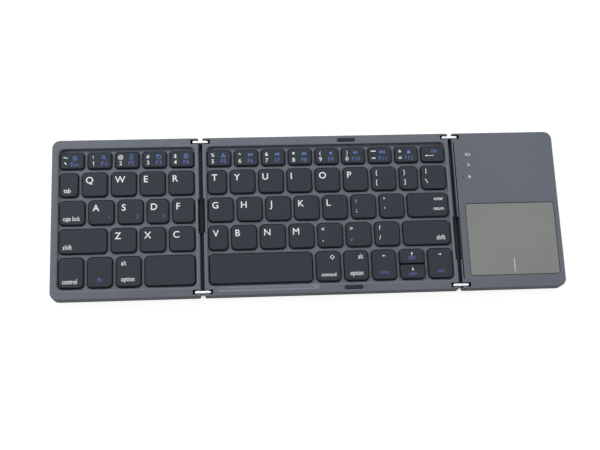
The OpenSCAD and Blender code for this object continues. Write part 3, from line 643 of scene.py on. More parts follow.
PLAIN_NODES = {
    PLATE: ["left_key_plate", "centre_key_plate"],
    FILM: ["left_membrane", "centre_membrane"],
    SCREW: ["left_screws", "centre_screws", "right_screws"],
    MAGNET: ["left_magnets", "centre_magnets", "right_magnets"],
    BOARD: ["touchpad_board", "main_board"],
    FOIL: ["battery"],
    SOCKET: ["charge_socket"],
    PIN: ["left_hinge_pins", "right_hinge_pins"],
}


def finish_plain_nodes():
    """Gives every CAD node that stays in view its material."""
    for material, names in PLAIN_NODES.items():
        for name in names:
            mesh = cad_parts[name].data
            mesh.materials.clear()
            mesh.materials.append(material)


# Keys

# A key's marks are what is printed on it: the sign, how far it lies from the cap's left and back
# edge, or from its right and front edge where the number is negative, its height, its ink and where
# the distance across is measured to: the sign's left end, middle or right end. With "centre", the
# distance across is a share of the cap's width, measured to the sign's middle.


def letter(sign):
    """A large letter at the back left."""
    return [(sign, 2.3, 6.45, LETTER_H, WHITE_INK, "left")]


def stacked(upper, lower):
    """Two signs above each other at the left."""
    return [(upper, 3.0, 4.9, 2.3, WHITE_INK, "middle"),
            (lower, 3.0, 10.5, 2.3, WHITE_INK, "middle")]


def number(upper, lower, sign, word):
    """A number key: two white signs at the left, a blue sign over a blue word at the right."""
    middle = 9.1 if len(word) == 2 else 8.2
    return [(upper, 3.1, 4.1, SIGN_H, WHITE_INK, "middle"),
            (lower, 3.1, 7.9, DIGIT_H, WHITE_INK, "middle"),
            (sign, middle, 4.4, 2.4, SKY_INK, "middle"),
            (word, middle, 8.0, DIGIT_H, BLUE_INK, "middle")]


def channel(sign, digit):
    """A letter with a small blue number at the front right."""
    return letter(sign) + [(digit, -2.6, -3.2, 2.1, BLUE_INK, "right")]


def word(text):
    """A word at the front left."""
    return [(text, 2.3, -2.5, WORD_H, WHITE_INK, "left")]


KEYS = {
    "left_wing": {
        "control_key": [word("control")],
        "fn_key": [[("fn", 0.5, -3.4, 2.1, BLUE_INK, "centre")]],
        "left_option_key": [[("alt", 2.9, 5.2, WORD_H, WHITE_INK, "left"),
                             ("option", 2.9, -3.2, WORD_H, WHITE_INK, "left")]],
        "left_space_key": [[]],
        "left_shift_key": [word("shift")],
        "letter_keys_zxc": [letter(c) for c in "ZXC"],
        "caps_lock_key": [word("caps lock")],
        "letter_keys_asdf": [channel("A", "1"), channel("S", "2"), channel("D", "3"), letter("F")],
        "tab_key": [word("tab")],
        "letter_keys_qwer": [letter(c) for c in "QWER"],
        "number_keys_left": [number("~", "`", "house", "Esc"), number("!", "1", "lens", "F1"),
                             number("@", "2", "page", "F2"), number("#", "3", "copies", "F3"),
                             number("$", "4", "paste", "F4")],
    },
    "centre": {
        "space_bar": [[]],
        "command_key": [[("diamond", -4.6, 4.9, 2.4, WHITE_INK, "middle"),
                         ("command", 0.5, -2.9, 2.05, WHITE_INK, "centre")]],
        "right_option_key": [[("alt", -3.0, 4.9, WORD_H, WHITE_INK, "right"),
                              ("option", 0.5, -3.1, WORD_H, WHITE_INK, "centre")]],
        "left_arrow_key": [[("arrow left", 0.5, 4.5, ARROW_H, WHITE_INK, "centre"),
                            ("home", 0.5, -3.4, 2.0, BLUE_INK, "centre")]],
        "up_arrow_key": [[("arrow up", 0.5, 3.6, ARROW_H, WHITE_INK, "centre"),
                          ("pgup", 0.5, -2.9, 1.9, BLUE_INK, "centre")]],
        "down_arrow_key": [[("arrow down", 0.5, 4.0, ARROW_H, WHITE_INK, "centre"),
                            ("pgdn", 0.5, -2.3, 1.9, BLUE_INK, "centre")]],
        "right_arrow_key": [[("arrow right", 0.5, 4.5, ARROW_H, WHITE_INK, "centre"),
                             ("end", 0.5, -3.4, 2.0, BLUE_INK, "centre")]],
        "letter_keys_lower": [letter(c) for c in "VBNM"] + [stacked("<", ","), stacked(">", "."),
                                                            stacked("?", "/")],
        "right_shift_key": [[("shift", -3.1, -3.0, WORD_H, WHITE_INK, "right")]],
        "letter_keys_home": [letter(c) for c in "GHJKL"] + [stacked(":", ";"), stacked("\"", "'")],
        "enter_key": [[("enter", -2.6, 4.6, 2.1, WHITE_INK, "right"),
                       ("return", -2.6, 10.4, 2.1, WHITE_INK, "right")]],
        "letter_keys_upper": [letter(c) for c in "TYUIOP"] + [stacked("{", "["), stacked("}", "]"),
                                                              stacked("|", "\\")],
        "number_keys_centre": [number("%", "5", "shears", "F5"), number("^", "6", "back", "F6"),
                               number("&", "7", "play", "F7"), number("*", "8", "next", "F8"),
                               number("(", "9", "mute", "F9"), number(")", "0", "quiet", "F10"),
                               number("_", "-", "loud", "F11"), number("+", "=", "lock", "F12"),
                               [("arrow erase", 2.3, 6.6, 1.5, WHITE_INK, "left"),
                                ("Del", 0.57, 4.0, 1.8, SKY_INK, "centre")]],
    },
}
UNEVEN = {
    "letter_keys_asdf": [LETTER_W, LETTER_W, HOME_END_W, HOME_END_W],
    "letter_keys_lower": [NARROW_W] + 6 * [LETTER_W],
    "letter_keys_upper": [NARROW_W] + 6 * [LETTER_W] + [NARROW_W, END_KEY_W],
}
FINGER_BARS = {"letter_keys_asdf": 3, "letter_keys_home": 2}


def caps_of(node):
    """The caps of a key node as low x, low y, high x, high y, from its box, its widths and the rib.

    Each cap stands KEY_SLIM inside that outline, apart from where two half keys meet.
    """
    low, high = box_mm(node)
    reach = KEY_CLEAR + FLANGE_GRIP
    count = len(KEYS["left_wing"].get(node) or KEYS["centre"].get(node))
    field = high[0] - low[0] - 2 * FLANGE_GRIP
    widths = np.array(UNEVEN.get(node, count * [(field - (count - 1) * RIB_X) / count]))
    lefts = low[0] + reach + np.concatenate([[0], np.cumsum(widths + RIB_X)[:-1]])
    front = low[1] + (0 if node == "up_arrow_key" else reach + KEY_SLIM)
    back = high[1] - (0 if node == "down_arrow_key" else reach + KEY_SLIM)
    return [[x + KEY_SLIM, front, x + w - 2 * KEY_CLEAR - KEY_SLIM, back]
            for x, w in zip(lefts, widths)]


def cap_radius(node):
    """Plan radius of a cap's corners."""
    if node in ("up_arrow_key", "down_arrow_key"):
        return HALF_KEY_R
    return (NUMBER_OPENING_R if node.startswith("number") else OPENING_R) - KEY_CLEAR


def key_cap(cap, r, front, back, low_z, top_z):
    """A hollow cap with its foot flange and its stem, as one closed skin.

    The profile runs from the flat top over a quarter-round edge, down the drafted wall, round the
    flange, up inside to the roof and down the stem, and is carried round the cap's outline.
    """
    rows = []

    def ring(inset, z, front_out=0.0, back_out=0.0):
        """Adds the cap's outline at z, drawn in by inset, with its front and back moved out."""
        radius = max(r - inset, 0.1)
        rows.append([cap[0] + inset, cap[1] + inset - front_out, cap[2] - inset,
                     cap[3] - inset + back_out, radius, radius, z])

    reach = KEY_CLEAR + FLANGE_GRIP + KEY_SLIM
    flange_z = low_z + KEY_STEM_DROP
    roof_z = top_z - KEY_ROOF
    ring(KEY_DRAFT + KEY_EDGE_R + KEY_TOP_INSET, top_z)
    for drop in edge_drops(KEY_EDGE_R):
        ring(KEY_DRAFT + float(edge_inset(KEY_EDGE_R, drop)), top_z - drop)
    ring(0, flange_z + FLANGE_T)
    ring(-reach, flange_z + FLANGE_T, front - reach, back - reach)
    ring(-reach, flange_z, front - reach, back - reach)
    ring(KEY_WALL, flange_z)
    ring(KEY_WALL + KEY_ROOF_DRAFT, roof_z)
    x, y = (cap[0] + cap[2]) / 2, (cap[1] + cap[3]) / 2
    for z in (roof_z, low_z):
        rows.append([x - STEM_R, y - STEM_R, x + STEM_R, y + STEM_R, STEM_R, STEM_R, z])
    return shell(rows)


def finger_bar(cap, top_z):
    """A low bar with rounded edges near the front of a home key."""
    x, y = (cap[0] + cap[2]) / 2, cap[1] + BAR_INSET
    plan = [x - BAR_L / 2, y - BAR_W / 2, x + BAR_L / 2, y + BAR_W / 2]
    r = BAR_W / 2
    rows = []
    for drop in edge_drops(BAR_H, 3):
        inset = float(edge_inset(BAR_H, drop))
        rows.append([*grown(plan, -inset), r - inset, r - inset, top_z + BAR_H - drop])
    rows.append([*plan, r, r, top_z - BAR_H])
    return shell(rows)


# Printed signs


def ribbon(points, width, z0, z1, closed=False):
    """A flat stroke: a rectangle carried along a line, mitred where the line turns."""
    p = np.asarray(points, float)
    ahead = np.roll(p, -1, axis=0) - p
    behind = p - np.roll(p, 1, axis=0)
    if not closed:
        ahead[-1] = behind[-1]
        behind[0] = ahead[0]
    ahead /= np.linalg.norm(ahead, axis=1)[:, None]
    behind /= np.linalg.norm(behind, axis=1)[:, None]
    side = np.stack([-(ahead + behind)[:, 1], (ahead + behind)[:, 0]], axis=-1)
    square = np.stack([-ahead[:, 1], ahead[:, 0]], axis=-1)
    side *= (width / 2 / np.maximum((side * square).sum(1), 0.35))[:, None]
    corners = [(-side, z1), (side, z1), (side, z0), (-side, z0)]
    grid = np.stack([np.column_stack([p + s, np.full(len(p), z)]) for s, z in corners], axis=1)
    if not closed:
        return skin(grid)
    count = len(p)
    here = np.arange(count * 4).reshape(count, 4)
    after = np.roll(here, -1, axis=0)
    faces = np.stack([here, after, np.roll(after, -1, axis=1), np.roll(here, -1, axis=1)], axis=-1)
    return grid.reshape(-1, 3), faces.reshape(-1, 4).tolist()


def plate(points, z0, z1):
    """A thin flat plate over an outline that runs counter-clockwise."""
    p = np.asarray(points, float)
    return skin(np.stack([np.column_stack([p, np.full(len(p), z)]) for z in (z1, z0)]))


def arc(x, y, r, start, end, steps=10):
    """Points on a circle about x, y between two angles in degrees."""
    a = np.radians(np.linspace(start, end, steps))
    return np.column_stack([x + r * np.cos(a), y + r * np.sin(a)])


STROKES = {
    "1": [[(0.08, 0.74), (0.36, 1.0), (0.36, 0.0)]],
    "~": [[(0.0, 0.5), (0.2, 0.66), (0.42, 0.62), (0.74, 0.44), (0.96, 0.42), (1.14, 0.58)]],
    "`": [[(0.0, 0.95), (0.42, 0.42)]],
    "_": [[(0.0, 0.75), (1.4, 0.75)]],
    "-": [[(0.0, 0.5), (0.9, 0.5)]],
    "+": [[(0.0, 0.55), (0.84, 0.55)], [(0.42, 0.13), (0.42, 0.97)]],
    "=": [[(0.0, 0.3), (0.75, 0.3)], [(0.0, 0.62), (0.75, 0.62)]],
    "*": [[(0.36, 0.2), (0.36, 0.92)], [(0.05, 0.38), (0.67, 0.74)], [(0.05, 0.74), (0.67, 0.38)]],
    "|": [[(0.0, 0.0), (0.0, 0.5)], [(0.0, 0.75), (0.0, 1.25)]],
    "\\": [[(0.0, 1.1), (0.55, 0.0)]],
    "house": [[(0.0, 0.45), (0.5, 0.95), (1.0, 0.45)],
              [(0.18, 0.5), (0.18, 0.02), (0.82, 0.02), (0.82, 0.5)]],
    "lens": [arc(0.4, 0.6, 0.32, 0, 340, 14), [(0.63, 0.36), (0.98, 0.02)]],
    "page": [[(0.1, 0.95), (0.9, 0.95)], [(0.1, 0.5), (0.9, 0.5)], [(0.1, 0.05), (0.9, 0.05)]],
    "copies": [[(0.05, 0.3), (0.05, 0.98), (0.65, 0.98)],
               [(0.3, 0.02), (0.3, 0.7), (0.95, 0.7), (0.95, 0.02), (0.3, 0.02)]],
    "paste": [[(0.1, 0.02), (0.1, 0.85), (0.9, 0.85), (0.9, 0.02), (0.1, 0.02)],
              [(0.35, 0.98), (0.65, 0.98)], [(0.3, 0.45), (0.7, 0.45)]],
    "shears": [arc(0.22, 0.18, 0.16, 0, 340, 10), arc(0.78, 0.18, 0.16, 0, 340, 10),
               [(0.3, 0.33), (0.75, 1.0)], [(0.7, 0.33), (0.25, 1.0)]],
    "back": [[(0.02, 0.1), (0.02, 0.9)]],
    "next": [[(0.98, 0.1), (0.98, 0.9)]],
    "play": [[(0.68, 0.1), (0.68, 0.9)], [(0.92, 0.1), (0.92, 0.9)]],
    "mute": [],
    "quiet": [arc(0.45, 0.5, 0.3, -40, 40, 6)],
    "loud": [arc(0.45, 0.5, 0.3, -40, 40, 6), arc(0.45, 0.5, 0.52, -45, 45, 8)],
    "lock": [arc(0.5, 0.55, 0.24, 0, 180, 9)],
    "diamond": [[(0.5, 0.0), (0.98, 0.5), (0.5, 1.0), (0.02, 0.5), (0.5, 0.0)]],
    "arrow erase": [[(0.3, 0.5), (3.35, 0.5)]],
    "arrow left": [[(0.3, 0.5), (1.1, 0.5)]],
    "arrow right": [[(0.0, 0.5), (0.8, 0.5)]],
    "arrow up": [[(0.5, -0.3), (0.5, 0.5)]],
    "arrow down": [[(0.5, 0.5), (0.5, 1.3)]],
    "cell": [[(0.0, 0.15), (0.0, 0.85), (1.45, 0.85), (1.45, 0.15), (0.0, 0.15)],
             [(1.65, 0.35), (1.65, 0.65)], [(0.35, 0.35), (0.35, 0.65)]],
    "waves": [arc(0.1, 0.1, 0.4, 0, 90, 8), arc(0.1, 0.1, 0.8, 0, 90, 10)],
}
WIDE_STROKES = {"~": 0.22, "`": 0.24, "_": 0.3, "-": 0.26, "+": 0.26, "|": 0.22, "\\": 0.17,
                "=": 0.18, "*": 0.2, "arrow erase": 0.22, "arrow left": 0.2, "arrow right": 0.2,
                "arrow up": 0.2, "arrow down": 0.2}
SIGN_WIDTHS = {
    "control": 7.9, "shift": 4.9, "caps lock": 9.1, "tab": 3.8, "option": 7.15, "alt": 2.7,
    "command": 8.2, "home": 4.7, "end": 3.2, "pgup": 3.9, "pgdn": 4.2, "enter": 5.4, "return": 5.9,
    "fn": 2.4, "Esc": 4.4,
    "Del": 2.9, "mute": 1.6, "quiet": 2.5, "loud": 3.1, "lock": 1.8, "_": 2.8, "-": 2.1, "+": 1.7,
    **{f"F{n}": 3.1 if n < 10 else 4.5 for n in range(1, 13)},
}
SPEAKER = [(0.0, 0.3), (0.18, 0.3), (0.42, 0.05), (0.42, 0.95), (0.18, 0.7), (0.0, 0.7)]
PLATES = {
    "back": [[(0.1, 0.5), (0.52, 0.1), (0.52, 0.9)], [(0.52, 0.5), (0.95, 0.1), (0.95, 0.9)]],
    "next": [[(0.48, 0.1), (0.9, 0.5), (0.48, 0.9)], [(0.05, 0.1), (0.48, 0.5), (0.05, 0.9)]],
    "play": [[(0.05, 0.1), (0.55, 0.5), (0.05, 0.9)]],
    "mute": [SPEAKER],
    "quiet": [SPEAKER],
    "loud": [SPEAKER],
    "lock": [[(0.15, 0.0), (0.85, 0.0), (0.85, 0.55), (0.15, 0.55)]],
    "arrow erase": [[(0.0, 0.5), (0.75, 0.14), (0.75, 0.86)]],
    "arrow left": [[(0.0, 0.5), (0.5, 0.15), (0.5, 0.85)]],
    "arrow right": [[(0.6, 0.15), (1.1, 0.5), (0.6, 0.85)]],
    "arrow up": [[(0.1, 0.4), (0.9, 0.4), (0.5, 0.95)]],
    "arrow down": [[(0.5, 0.05), (0.9, 0.6), (0.1, 0.6)]],
    "waves": [arc(0.1, 0.1, 0.12, 0, 350, 8)],
}
STROKE_SHARE = 0.13
TOP_STEP = 0.06
FIRST_PLATE_STEP = 5
INK_BASE = -0.01


def glyphs(text, weight=0.0):
    """Letters of the built-in font as thin plates one unit high, standing on y = 0."""
    curve = bpy.data.curves.new("sign", "FONT")
    curve.body = text
    curve.resolution_u = 5
    curve.offset = weight
    curve.space_character = WORD_SPACING if len(text) > 2 else 1.0
    curve.extrude = 0.01
    obj = bpy.data.objects.new("sign", curve)
    mesh = bpy.data.meshes.new_from_object(obj)
    points = np.empty(len(mesh.vertices) * 3)
    mesh.vertices.foreach_get("co", points)
    faces = [list(p.vertices) for p in mesh.polygons]
    bpy.data.objects.remove(obj)
    bpy.data.curves.remove(curve)
    bpy.data.meshes.remove(mesh)
    return points.reshape(-1, 3), faces


FONT_CAP_H = float(np.ptp(glyphs("H")[0][:, 1]))


def sign_shapes(sign):
    """The plates of one sign, one unit high, from z = 0 to z = 1.

    Strokes and plates that overlap end at heights TOP_STEP apart, so that no two faces coincide.
    """
    if sign not in STROKES:
        points, faces = glyphs(sign, WORD_WEIGHT if len(sign) > 2 else SIGN_WEIGHT)
        points[:, 2] = points[:, 2] > 0
        points[:, :2] /= FONT_CAP_H
        return [(points, faces)]
    made = []
    for n, line in enumerate(STROKES[sign]):
        closed = tuple(line[0]) == tuple(line[-1])
        width = WIDE_STROKES.get(sign, STROKE_SHARE)
        made.append(ribbon(line[:-1] if closed else line, width, 0, 1 + n * TOP_STEP, closed))
    for n, outline in enumerate(PLATES.get(sign, [])):
        made.append(plate(outline, 0, 1 + (n + FIRST_PLATE_STEP) * TOP_STEP))
    return made


def printed(mark, x0, y0, x1, y1, z):
    """One mark of a key, laid on the face at height z within the cap x0, y0, x1, y1."""
    sign, across, down, height, _, held = mark
    points, faces = joined(sign_shapes(sign))
    points[:, :2] *= height
    points[:, 0] *= SIGN_WIDTHS.get(sign, np.ptp(points[:, 0])) / np.ptp(points[:, 0])
    low, high = points[:, 0].min(), points[:, 0].max()
    hold = {"left": low, "right": high}.get(held, (low + high) / 2)
    if held == "centre":
        at = x0 + across * (x1 - x0)
    else:
        at = (x0 if across > 0 else x1) + across
    points[:, 0] += at - hold
    points[:, 1] += (y1 if down > 0 else y0) - down
    points[:, 2] = z + INK_BASE + points[:, 2] * (INK_T - INK_BASE)
    return points, faces


def print_on(name, body, marks, slot):
    """One piece that holds a set of printed marks, with a material for each ink."""
    inks = list(dict.fromkeys(ink for ink, shape in marks))
    obj = solid(name, [shape for ink, shape in marks])
    for ink in inks:
        obj.data.materials.append(ink)
    index = np.concatenate([np.full(len(shape[1]), inks.index(ink)) for ink, shape in marks])
    obj.data.polygons.foreach_set("material_index", index.astype(np.int32))
    return dress(obj, name, None, body, slot)


def make_domes(node, body, caps, top_z):
    """The rubber domes under a key. Each is a cone on a round foot."""
    domes = body.replace("_wing", "") + "_domes"
    base_z = box_mm(domes)[0][2]
    profile = [(STEM_R, top_z), (DOME_R - DOME_STEP, base_z + DOME_BASE_T),
               (DOME_R, base_z + DOME_BASE_T), (DOME_R, base_z)]
    shapes = []
    for x0, y0, x1, y1 in caps:
        x, y = (x0 + x1) / 2, (y0 + y1) / 2
        shapes.append(shell([[x - r, y - r, x + r, y + r, r, r, z] for r, z in profile]))
    obj = dress(smooth(solid("domes", shapes)), node + "_domes", DOME, body, "dome_silicone", domes)
    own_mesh(obj)


def make_keys():
    """Every cap, the printing on it and the domes under it."""
    for body, nodes in KEYS.items():
        for node, legends in nodes.items():
            low, high = box_mm(node)
            top_z = high[2] - (BAR_H if node in FINGER_BARS else 0)
            reach = KEY_CLEAR + FLANGE_GRIP + KEY_SLIM
            front = 0 if node == "up_arrow_key" else reach
            back = 0 if node == "down_arrow_key" else reach
            caps = caps_of(node)
            shapes = [key_cap(cap, cap_radius(node), front, back, low[2], top_z) for cap in caps]
            if node in FINGER_BARS:
                shapes.append(finger_bar(caps[FINGER_BARS[node]], top_z))
            dress(smooth(solid(node, shapes)), node + "_cap", KEY, node, "key_plastic", node)
            make_domes(node, body, caps, low[2])
            marks = [(mark[4], printed(mark, *grown(cap, KEY_SLIM), top_z))
                     for cap, signs in zip(caps, legends) for mark in signs]
            if marks:
                print_on(node + "_printing", node, marks, "key_plastic")


# Casings

# A panel is its left and right corner radius, edge rounding and wall, the hinge gaps beside it and
# its body. A gap's number is 1 where the panel lies to the right of it, and -1 where to the left.
PANELS = {
    "left": {"corners": (FREE_CORNER_R, GAP_CORNER_R), "edges": (RIM_EDGE_R, GAP_EDGE_R),
             "walls": (LEFT_FREE_WALL, GAP_WALL), "gaps": {"left": -1}, "body": "left_wing"},
    "centre": {"corners": (GAP_CORNER_R, GAP_CORNER_R), "edges": (GAP_EDGE_R, GAP_EDGE_R),
               "walls": (GAP_WALL, GAP_WALL), "gaps": {"left": 1, "right": -1}, "body": "centre"},
    "right": {"corners": (GAP_CORNER_R, FREE_CORNER_R), "edges": (GAP_EDGE_R, RIM_EDGE_R),
              "walls": (GAP_WALL, RIGHT_FREE_WALL), "gaps": {"right": 1}, "body": "right_wing"},
}


def plan_of(low, high):
    """The plan rectangle of a box."""
    return [low[0], low[1], high[0], high[1]]


def casing_rows(panel, low, high, upper):
    """Rings of a deck, from its rounded rim to the seam, or of a bottom cover, from the seam down.

    A fine line runs round a deck's outer walls. At a hinge gap the walls stay plain.
    """
    edge_left, edge_right = panel["edges"] if upper else (BASE_EDGE_R, BASE_EDGE_R)
    edge_long = RIM_EDGE_R if upper else BASE_EDGE_R
    face = high[2] if upper else low[2]

    def ring(left, right, along, z):
        """The panel's outline at z, drawn in on its left, its right and its two long sides."""
        radii = [max(r - max(i, along), LEAST_R) for r, i in zip(panel["corners"], (left, right))]
        return [low[0] + left, low[1] + along, high[0] - right, high[1] - along, *radii, z]

    rows = []
    for drop in edge_drops(max(edge_left, edge_right), 8):
        insets = [float(edge_inset(r, drop)) for r in (edge_left, edge_right, edge_long)]
        rows.append(ring(*insets, face - drop if upper else face + drop))
    if upper:
        sides = [0 if side in panel["gaps"].values() else LINE_DEPTH for side in (1, -1)]
        middle_z = (LINE_TOP_Z + LINE_LOW_Z) / 2
        rows += [ring(0, 0, 0, LINE_TOP_Z), ring(*sides, LINE_DEPTH, middle_z + LINE_FLOOR),
                 ring(*sides, LINE_DEPTH, middle_z - LINE_FLOOR), ring(0, 0, 0, LINE_LOW_Z),
                 ring(0, 0, 0, TWO_TONE_Z)]
    seam = low[2] if upper else high[2]
    turn = 1 if upper else -1
    rows.append(ring(0, 0, 0, seam + turn * SEAM))
    rows.append(ring(SEAM, SEAM, SEAM, seam))
    return rows if upper else rows[::-1]


def cavity(panel, low, high, z1, z0):
    """The room inside a casing between z1 and z0."""
    left, right = panel["walls"]
    plan = [low[0] + left, low[1] + LONG_WALL, high[0] - right, high[1] - LONG_WALL]
    return shell([[*plan, INNER_R, INNER_R, z] for z in (z1, z0)])


def gap_cutters(panel, x_edge, z1, z0, face):
    """What is cut away beside each hinge gap: slots for two links and the cable cover's notch."""
    slots, notches = [], []
    for side, turn in panel["gaps"].items():
        low, high = box_mm(side + "_hinge_links")
        middle = (low[0] + high[0]) / 2
        reach = (high[0] - low[0]) / 2 + SLOT_GROW[0]
        thick = LINK_T / 2 + SLOT_GROW[1]
        link_y = high[1] - LINK_T / 2
        for y in (-link_y, link_y):
            x0, x1 = sorted([middle, middle + turn * reach])
            plan = [x0, y - thick, x1, y + thick]
            slots.append(hole(plan, SLOT_R, z1, LINK_FLOOR_Z, face, SMALL_EDGE_R))
        middle_y, length = COVERS[side]
        half = length / 2 + COVER_END_CLEAR
        x0, x1 = sorted([middle, x_edge[side] + turn * NOTCH_DEPTH])
        notches.append(shell([[x0, middle_y - half, x1, middle_y + half, NOTCH_R, NOTCH_R, z]
                              for z in (z1, z0)]))
    return slots, notches


def pin_bores(panel):
    """Holes in the casing's ears for the hinge pins."""
    bores = []
    for side, turn in panel["gaps"].items():
        low, high = box_mm(side + "_hinge_pins")
        middle = (low[0] + high[0]) / 2
        for s in (-1, 1):
            ends = sorted([s * (high[1] + PIN_CLEAR), s * (high[1] - PIN_BORE_L)])
            bores.append(rod(middle + turn * PIVOT_X, PIVOT_Z, PIN_R + PIN_CLEAR, *ends))
    return bores


def gap_edges(panel_name):
    """The casing's edge at each of its hinge gaps."""
    low, high = box_mm(panel_name + "_deck")
    turns = PANELS[panel_name]["gaps"]
    return {side: high[0] if turn < 0 else low[0] for side, turn in turns.items()}


def openings_of(body):
    """The key openings of a panel with their corner radii."""
    made = []
    for node in KEYS[body]:
        if node in ("up_arrow_key", "down_arrow_key"):
            continue
        r = cap_radius(node) + KEY_CLEAR
        made += [(grown(cap, KEY_CLEAR), r) for cap in caps_of(node)]
    if body == "centre":
        front, back = caps_of("down_arrow_key")[0], caps_of("up_arrow_key")[0]
        pair = [front[0], front[1], front[2], back[3]]
        made.append((grown(pair, KEY_CLEAR), OPENING_R))
    return made


def scoop_cutter(edge_y, rim):
    """The hollow in front of the space bar: rings that draw in and back as they go down.

    The depth below the rim is SCOOP_DEPTH * cos(pi * s / 2)**2, where s runs from 0 at the key to 1
    at the rim, so that the hollow ends in a soft crest.
    """
    x0, x1 = SCOOP_X - SCOOP_W / 2, SCOOP_X + SCOOP_W / 2
    back = edge_y + SCOOP_OVERLAP
    top = [x0 - SCOOP_RUNOUT, edge_y - SCOOP_REACH - SCOOP_RUNOUT, x1 + SCOOP_RUNOUT, back,
           SCOOP_TOP_R, SCOOP_TOP_R]
    rows = [[*top, rim + CUT_OVER], [*top, rim + SCOOP_LIFT]]
    for s in np.linspace(SCOOP_FIRST_SHARE, 0, SCOOP_RINGS):
        share = math.cos(math.pi * s / 2) ** 2
        front = edge_y - SCOOP_REACH * s
        r = SCOOP_CORNER_SHARE * (back - front)
        rows.append([x0 + SCOOP_END * share, front, x1 - SCOOP_END * share, back, r, r,
                     rim - SCOOP_DEPTH * share])
    return shell(rows)


def slope_lips(obj, rim):
    """Lets the front and back lips of a deck fall away gently towards the edge.

    Beyond the crease, z drops by LIP_DROP times the share of the lip's width.
    """
    work = bmesh.new()
    work.from_mesh(obj.data)
    for s in (-1, 1):
        parts = list(work.verts) + list(work.edges) + list(work.faces)
        bmesh.ops.bisect_plane(work, geom=parts, plane_co=(0, s * LIP_CREASE_Y * MM, 0),
                               plane_no=(0, s, 0))
    work.to_mesh(obj.data)
    work.free()
    mesh = obj.data
    points = np.empty(len(mesh.vertices) * 3)
    mesh.vertices.foreach_get("co", points)
    points = points.reshape(-1, 3)
    edge = np.abs(points[:, 1]).max()
    share = np.clip((np.abs(points[:, 1]) - LIP_CREASE_Y * MM) / (edge - LIP_CREASE_Y * MM), 0, 1)
    upper = points[:, 2] > (rim - RIM_EDGE_R * 1.01) * MM
    points[:, 2] -= np.where(upper, share * LIP_DROP * MM, 0)
    mesh.vertices.foreach_set("co", points.ravel())
    mesh.update()


def per_face(mesh, what):
    """One vector for each face of a mesh, such as its center or its normal."""
    values = np.empty(len(mesh.polygons) * 3)
    mesh.polygons.foreach_get(what, values)
    return values.reshape(-1, 3)


def points_reach(mesh):
    """How far a mesh reaches along y, in millimetres."""
    points = np.empty(len(mesh.vertices) * 3)
    mesh.vertices.foreach_get("co", points)
    return np.abs(points.reshape(-1, 3)[:, 1]).max() / MM


def finish_deck(obj, panel):
    """Gives a deck its four materials, one of them a painted shade.

    The link slots, the fine groove and the line round the outer walls are painted black: a painted
    shade for the shadow in these hollows. Below TWO_TONE_Z the outer walls are as dark as the
    bottom cover, above it they have their own tone, and all the rest is plain casing.
    """
    mesh = obj.data
    mesh.materials.clear()
    for material in (CASING, PAINTED_SHADE_BLACK, BASE, CASING_WALL):
        mesh.materials.append(material)
    x, y, z = per_face(mesh, "center").T / MM
    level = np.abs(per_face(mesh, "normal")[:, 2])
    # The mask dark picks the faces that take the painted shade black: the link slots' walls, the
    # right deck's groove and the line round the outer walls.
    dark = np.zeros(len(x), bool)
    for side in panel["gaps"]:
        low, high = box_mm(side + "_hinge_links")
        middle = (low[0] + high[0]) / 2
        link_y = high[1] - LINK_T / 2
        near = np.abs(x - middle) < (high[0] - low[0]) / 2 + SLOT_GROW[0] + MASK_SLACK
        near &= np.abs(np.abs(y) - link_y) < LINK_T / 2 + SLOT_GROW[1] + MASK_SLACK
        dark |= near & (z > SLOT_MASK_ZS[0]) & (z < SLOT_MASK_ZS[1])
    if panel is PANELS["right"]:
        groove = x.min() + GROOVE_X
        within = (x > groove - MASK_SLACK) & (x < groove + GROOVE_W + MASK_SLACK)
        within &= z > GROOVE_MASK_ZS[0]
        dark |= within & (z < GROOVE_MASK_ZS[1]) & (level < LEVEL)
        dark |= within & (z < GROOVE_FLOOR_Z)
    # The line round the outer walls takes the painted shade black, standing for the shadow under
    # the rim's edge.
    outside = np.abs(y) > points_reach(mesh) - SEAM - LINE_DEPTH
    dark |= outside & (z > LINE_LOW_Z) & (z < LINE_TOP_Z)
    wall = outside & (level < STEEP)
    index = np.where(dark, 1, np.where(wall, np.where(z < TWO_TONE_Z, 2, 3), 0))
    mesh.polygons.foreach_set("material_index", index.astype(np.int32))


def corner_spots(low, high, inset):
    """Four places near a box's corners, as far inside its sides as inset says."""
    return [(x, y) for x in (low[0] + inset, high[0] - inset)
            for y in (low[1] + inset, high[1] - inset)]


def screw_spots(name):
    """The middles of a panel's four screws."""
    low, high = box_mm(name + "_screws")
    return corner_spots(low, high, HEAD_R)


def fastener_holes(name, low_z, rim):
    """What a deck holds from below: bores for its screws and pockets for its magnets."""
    screw_top = box_mm(name + "_screws")[1][2]
    holes = [disc(x, y, SHANK_R, screw_top, low_z - CUT_OVER) for x, y in screw_spots(name)]
    low, high = box_mm(name + "_magnets")
    for x in sorted({round(low[0] + MAGNET_L / 2, 3), round(high[0] - MAGNET_L / 2, 3)}):
        for s in (-1, 1):
            y = s * (high[1] - MAGNET_W / 2)
            half_x, half_y = MAGNET_L / 2 + MAGNET_CLEAR, MAGNET_W / 2 + MAGNET_CLEAR
            plan = [x - half_x, y - half_y, x + half_x, y + half_y]
            holes.append(shell([[*plan, MAGNET_POCKET_R, MAGNET_POCKET_R, z]
                                for z in (rim - MAGNET_COVER, low_z - CUT_OVER)]))
    return holes


